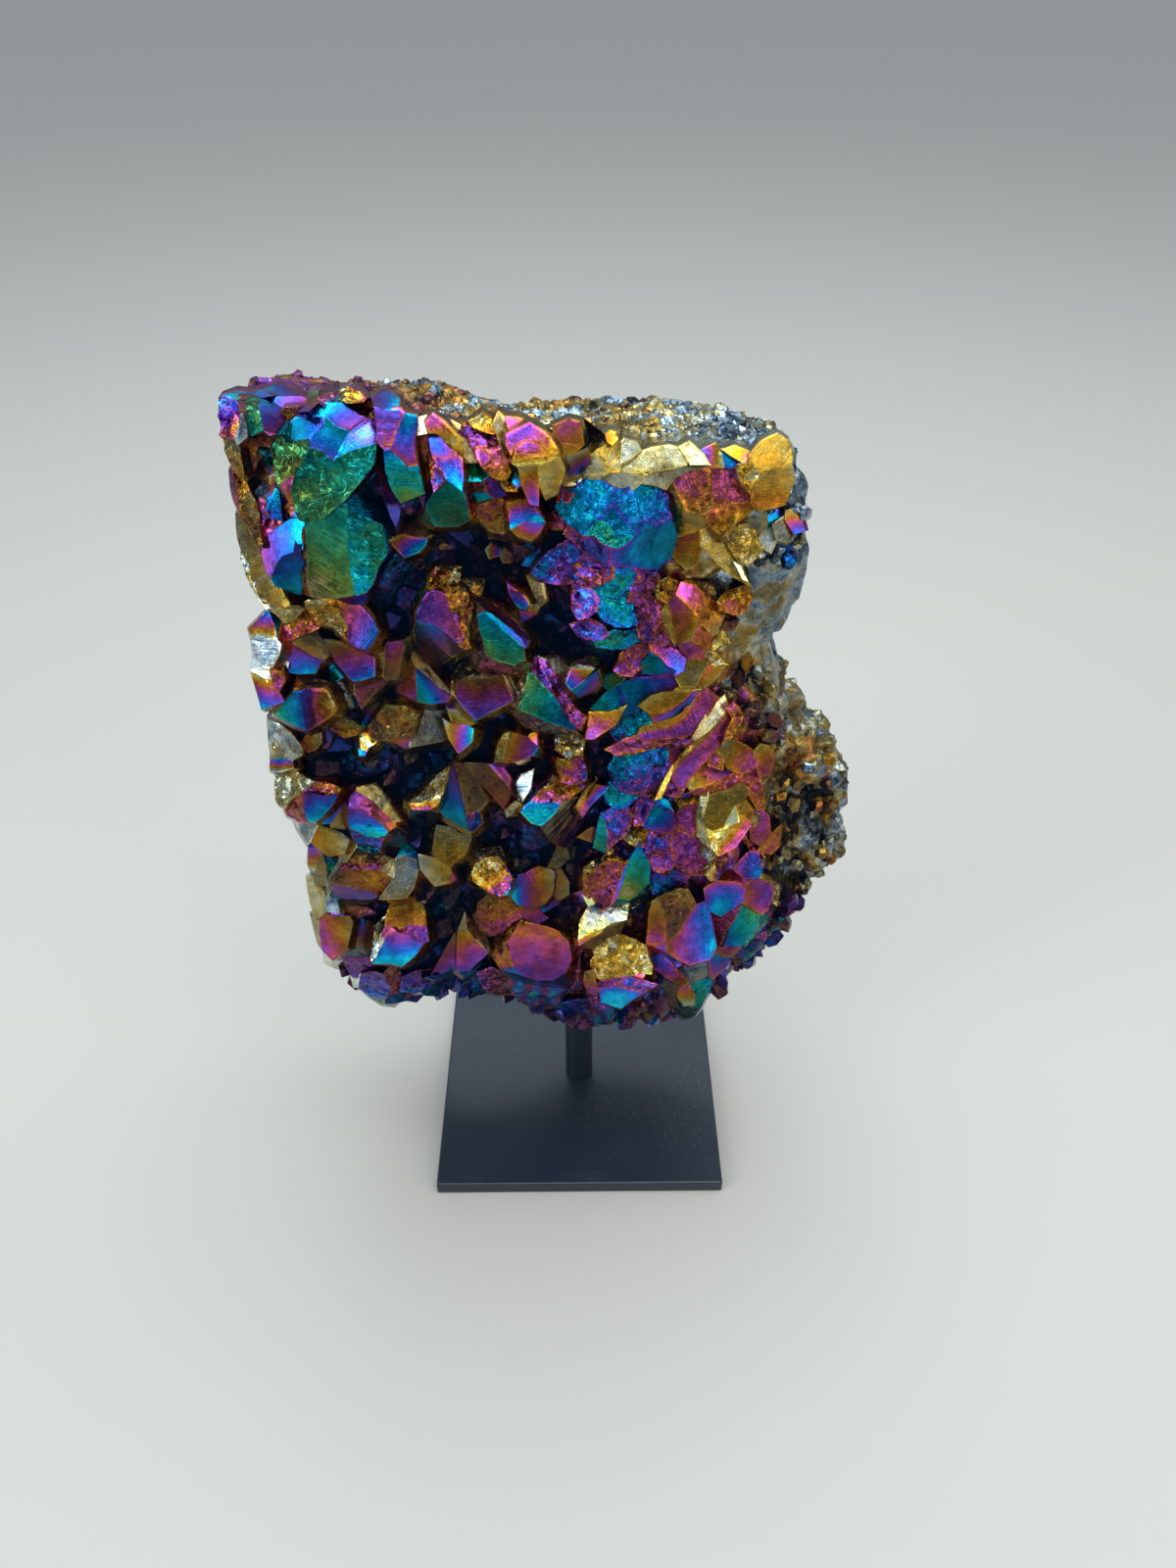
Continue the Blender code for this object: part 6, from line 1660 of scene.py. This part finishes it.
 (0,.1,-.5,.28,.24,0,.35, 2,118,8,116,16,111,16,109,23,105,29,99,31,103,28,109,18,114,10,120)],
[-19, (3,0,.7,.15,.18,0,1.25, 14,122,20,115,28,113,36,116,43,120,46,130,45,137,40,137,34,134,27,131,20,130,
  15,128),
 (3,-.1,.4,.14,.22,0,1.1, 10,134,15,128,20,130,27,131,34,134,40,137,34,141,26,142,16,143,10,140),
 (3,.1,.1,.42,.58,0,1.05, 12,145,16,143,26,142,34,141,42,143,48,145,42,149,34,150,26,147,18,148),
 (0,0,-.1,.64,.68,270,1.3, 14,149,18,148,26,147,34,150,42,149,36,153,30,157,24,160,18,158),
 (0,-.7,.3,.2,.46,270,1, 6,146,7,139,10,138,12,145,14,149,12,153,8,152)],
[-19.5, (0,.4,.8,.36,.38,0,1.5, 34,135,36,133,44,138,42,143,36,145,34,141)],
[-18, (1,-.5,.2,.26,.37,270,.75, 46,119,47,104,52,93,56,90,58,104,58,118,52,120),
 (2,0,.3,.24,.31,270,.42, 56,90,66,86,74,86,78,94,72,102,66,112,58,118,58,104),
 (1,.2,.3,.36,.62,0,1, 58,118,66,112,72,102,78,94,83,92,84,100,86,110,88,122,84,129,74,132,66,128,60,124),
 (1,-.2,-.3,.38,.5,0,1.2, 45,121,52,120,58,118,60,124,54,125,47,124)],
[-19, (0,-.3,.6,.6,.36,310,1.15, 48,124,54,125,60,131,66,139,72,144,70,146,62,142,54,134),
 (0,0,.2,.66,.62,0,.6, 54,125,60,124,62,128,64,134,62,134,60,131)],
[-17.5, (0,.2,1,.6,.6,0,1.3, 62,129,66,127,68,131,64,134)],
[-16, (2,.2,0,.05,.1,0,.28, 64,136,70,132,80,132,88,130,89,138,80,142,74,145,68,141)],
[-15, (0,.5,0,.66,.42,270,.5, 88,128,96,124,102,128,98,134,92,139,89,138)],
[-15, (2,.4,.2,.38,.36,0,.5, 90,122,98,120,110,118,104,125,96,125)],
[-15, (0,-.2,-.2,.17,.27,300,.25, 42,157,50,149,60,139,66,146,66,158,58,160,48,161)],
[-16.5, (0,-.2,.2,.43,.1,270,.6, 67,148,72,146,77,152,77,160,70,160,66,157),
 (2,.5,-.1,.7,.84,270,.5, 72,146,76,141,84,139,89,141,86,150,82,158,80,162,77,160,77,152),
 (2,.1,-.8,.86,.9,0,.45, 64,162,66,157,70,160,77,160,80,162,77,166,71,168,66,166)],
[-13, (2,-.1,-.2,.42,.34,0,.5, 0,152,6,150,12,154,14,160,8,164,0,163),
 (2,0,-.4,.66,.72,270,.45, 0,163,8,164,14,165,8,169,0,169)],
[-13, (2,0,-.2,.36,.28,0,.5, 30,160,38,156,42,157,48,161,46,167,36,168),
 (2,.1,-.2,.28,.4,0,.5, 46,167,48,161,58,161,62,164,58,169,50,170)],
]},
]

# which groups go into which piece
drawnNames = [
    ("crystal_cluster_crest_points", leftPoints[:3]), ("crystal_cluster_hollow_points", leftPoints[3:5]),
    ("crystal_cluster_lower_points", leftPoints[5:]), ("crystal_cluster_fused_crest", rightPoints[:2]),
    ("crystal_cluster_fused_middle", rightPoints[2:4]), ("crystal_cluster_fused_lower", rightPoints[4:]),
]

print("rock")
drawn = readCrystals(leftPoints + rightPoints)
growCrystals(drawn)
for crystal in drawn:
    solveFacets(crystal)
marks = drawnMarks(drawn)
rock = buildRock(marks)
print("small crystals")
masters = [makePoint(40 + k) for k in range(5)]
loops = [facet["corners"] for crystal in drawn for facet in crystal["facets"]]
small = buildSmall(masters, loops)
sugar = buildSugar(masters)
print("drawn crystals")
drawnPieces = []
taken = 0
for number, (name, groups) in enumerate(drawnNames):
    count = sum(len(group["crystals"]) for group in groups)
    drawnPieces.append(buildDrawn(name, drawn[taken:taken + count], 11 + number))
    taken += count

# the coating of each kind of piece: how coarse its cells are, how much the film wanders, how strongly rims,
# creases, mottling and glints show, and how rough and bumpy it is
fineLooks = {
    "cell": 560, "wander": 0.26, "mosaic": 0.13, "rim": 0.05, "crease": 0.4, "dull": 0.0, "mottle": 0.25,
    "glint": 0.8, "rough": 0.14, "tilt": 0.6, "bump": 0.5,
}
fusedLooks = {
    "cell": 480, "wander": 0.22, "mosaic": 0.11, "rim": 0.55, "crease": 0.55, "dull": 0.0, "mottle": 0.3,
    "glint": 0.65, "rough": 0.17, "tilt": 0.7, "bump": 0.6,
}
rockLooks = {
    "cell": 420, "wander": 0.13, "mosaic": 0.06, "rim": 0.0, "crease": 0.1, "dull": 0.08, "mottle": 0.4,
    "glint": 0.7, "rough": 0.3, "tilt": 0.5, "bump": 0.8,
}
coatingFine = coating("coated_crystal", fineLooks)
coatingFused = coating("coated_fused_crystal", fusedLooks)
coatingRock = coating("coated_rock", rockLooks)
finishPiece(rock, coatingRock, 40)
finishPiece(small, coatingFine, 20)
finishPiece(sugar, coatingRock, 20)
for piece in drawnPieces:
    finishPiece(piece, coatingFused if "fused" in piece.name else coatingFine, 28)

print("stand")
# the stand's two metals: their colour, their roughness, their dust, and 1 for bare metal or 0 for paint
standMetals = {
    "satin_black": {"tint": (0.010, 0.018, 0.028), "rough": 0.36, "dust": 0.25, "metallic": 0.0},
    "dark_steel": {"tint": (0.03, 0.03, 0.033), "rough": 0.35, "dust": 0.1, "metallic": 1.0},
}
dustColour = (0.30, 0.29, 0.28, 1)


def blackMetal(name):
    values = standMetals[name]
    material, shader, start, place = newMaterial(name)
    cloud = noiseWire(start, place, 60, 3.0, 0.6)
    grit = noiseWire(start, place, 2200, 2.0, 0.6)
    amount = cloud.between(0.45, 0.75) * grit.between(0.55, 0.75) * values["dust"]
    join(start.mixed((*values["tint"], 1), dustColour, amount), shader.inputs["Base Color"])
    join((cloud - 0.5) * 0.2 + (grit - 0.5) * 0.1 + values["rough"], shader.inputs["Roughness"])
    shader.inputs["Metallic"].default_value = values["metallic"]
    shader.inputs["Specular IOR Level"].default_value = 0.55
    bumped = start.make("ShaderNodeBump", {}, {"Strength": 0.15, "Distance": 0.00005, "Height": grit})
    join(bumped, shader.inputs["Normal"])
    return material


blackSteel, darkSteel = blackMetal("satin_black"), blackMetal("dark_steel")
for name, material in (("post", blackSteel), ("base_plate", blackSteel), ("base_screw", darkSteel)):
    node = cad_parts[name]
    node.data.materials.clear()
    node.data.materials.append(material)

print("stage")
# the floor and the light round the stone, and the lights' place, target and size in metres, power and colour
stageValues = {
    "floorSize": 16, "floorColour": (0.52, 0.475, 0.42, 1), "floorRough": 0.6, "skyStrength": 0.55,
    "sky": [
        (0.0, (0.26, 0.27, 0.29)), (0.45, (0.18, 0.21, 0.25)), (0.62, (0.43, 0.51, 0.60)),
        (0.8, (0.98, 1.13, 1.28)), (1.0, (1.15, 1.33, 1.5)),
    ],
    "lights": [
        ("top", (0.05, 0.1, 0.75), (0, 0, 0.08), (0.7, 0.6), 5.5, (0.80, 0.93, 1.0)),
        ("left", (-0.55, -0.35, 0.45), (0, 0, 0.09), (0.3, 0.5), 2.2, (0.80, 0.93, 1.0)),
        ("right", (0.5, -0.4, 0.35), (0, 0, 0.09), (0.4, 0.4), 1.1, (1.0, 0.93, 0.85)),
    ],
}
bpy.ops.mesh.primitive_plane_add(size=stageValues["floorSize"], location=(0, 0, 0))
floor = bpy.context.object
floor.name = "floor"
floorMaterial = bpy.data.materials.new("floor")
floorMaterial.use_nodes = True
floorShader = floorMaterial.node_tree.nodes["Principled BSDF"]
floorShader.inputs["Base Color"].default_value = stageValues["floorColour"]
floorShader.inputs["Roughness"].default_value = stageValues["floorRough"]
floor.data.materials.append(floorMaterial)

world = bpy.data.worlds.new("world")
bpy.context.scene.world = world
world.use_nodes = True
worldTree = world.node_tree
worldTree.nodes.clear()
worldOut = worldTree.nodes.new("ShaderNodeOutputWorld")
background = worldTree.nodes.new("ShaderNodeBackground")
worldTree.links.new(background.outputs[0], worldOut.inputs[0])
sky = Wire(worldTree, None)
way = sky.make("ShaderNodeTexCoord", output=0)
split = sky.make("ShaderNodeSeparateXYZ", {}, {"Vector": way}, output=2)
glow = sky.make("ShaderNodeValToRGB", {}, {"Fac": split * 0.5 + 0.5}, stops=stageValues["sky"])
join(glow, background.inputs["Color"])
background.inputs["Strength"].default_value = stageValues["skyStrength"]


def softLight(name, place, target, size, power, colour):
    light = bpy.data.lights.new(name, "AREA")
    light.shape = "RECTANGLE"
    light.size, light.size_y = size
    light.energy = power
    light.color = colour
    obj = bpy.data.objects.new(name, light)
    bpy.context.scene.collection.objects.link(obj)
    obj.location = place
    obj.rotation_euler = (Vector(target) - Vector(place)).to_track_quat("-Z", "Y").to_euler()


for row in stageValues["lights"]:
    softLight(*row)

camera = bpy.data.cameras.new("camera")
cameraObject = bpy.data.objects.new("camera", camera)
bpy.context.scene.collection.objects.link(cameraObject)
cameraObject.location = eyePlace / 1000
cameraObject.rotation_euler = (math.radians(90) - eyePitch, 0, -eyeTurn)
camera.sensor_fit = "AUTO"
camera.sensor_width = 36
camera.lens = focal / view["frame"][1] * camera.sensor_width
camera.clip_start = 0.005
bpy.context.scene.camera = cameraObject
bpy.context.scene.view_settings.view_transform = "Standard"
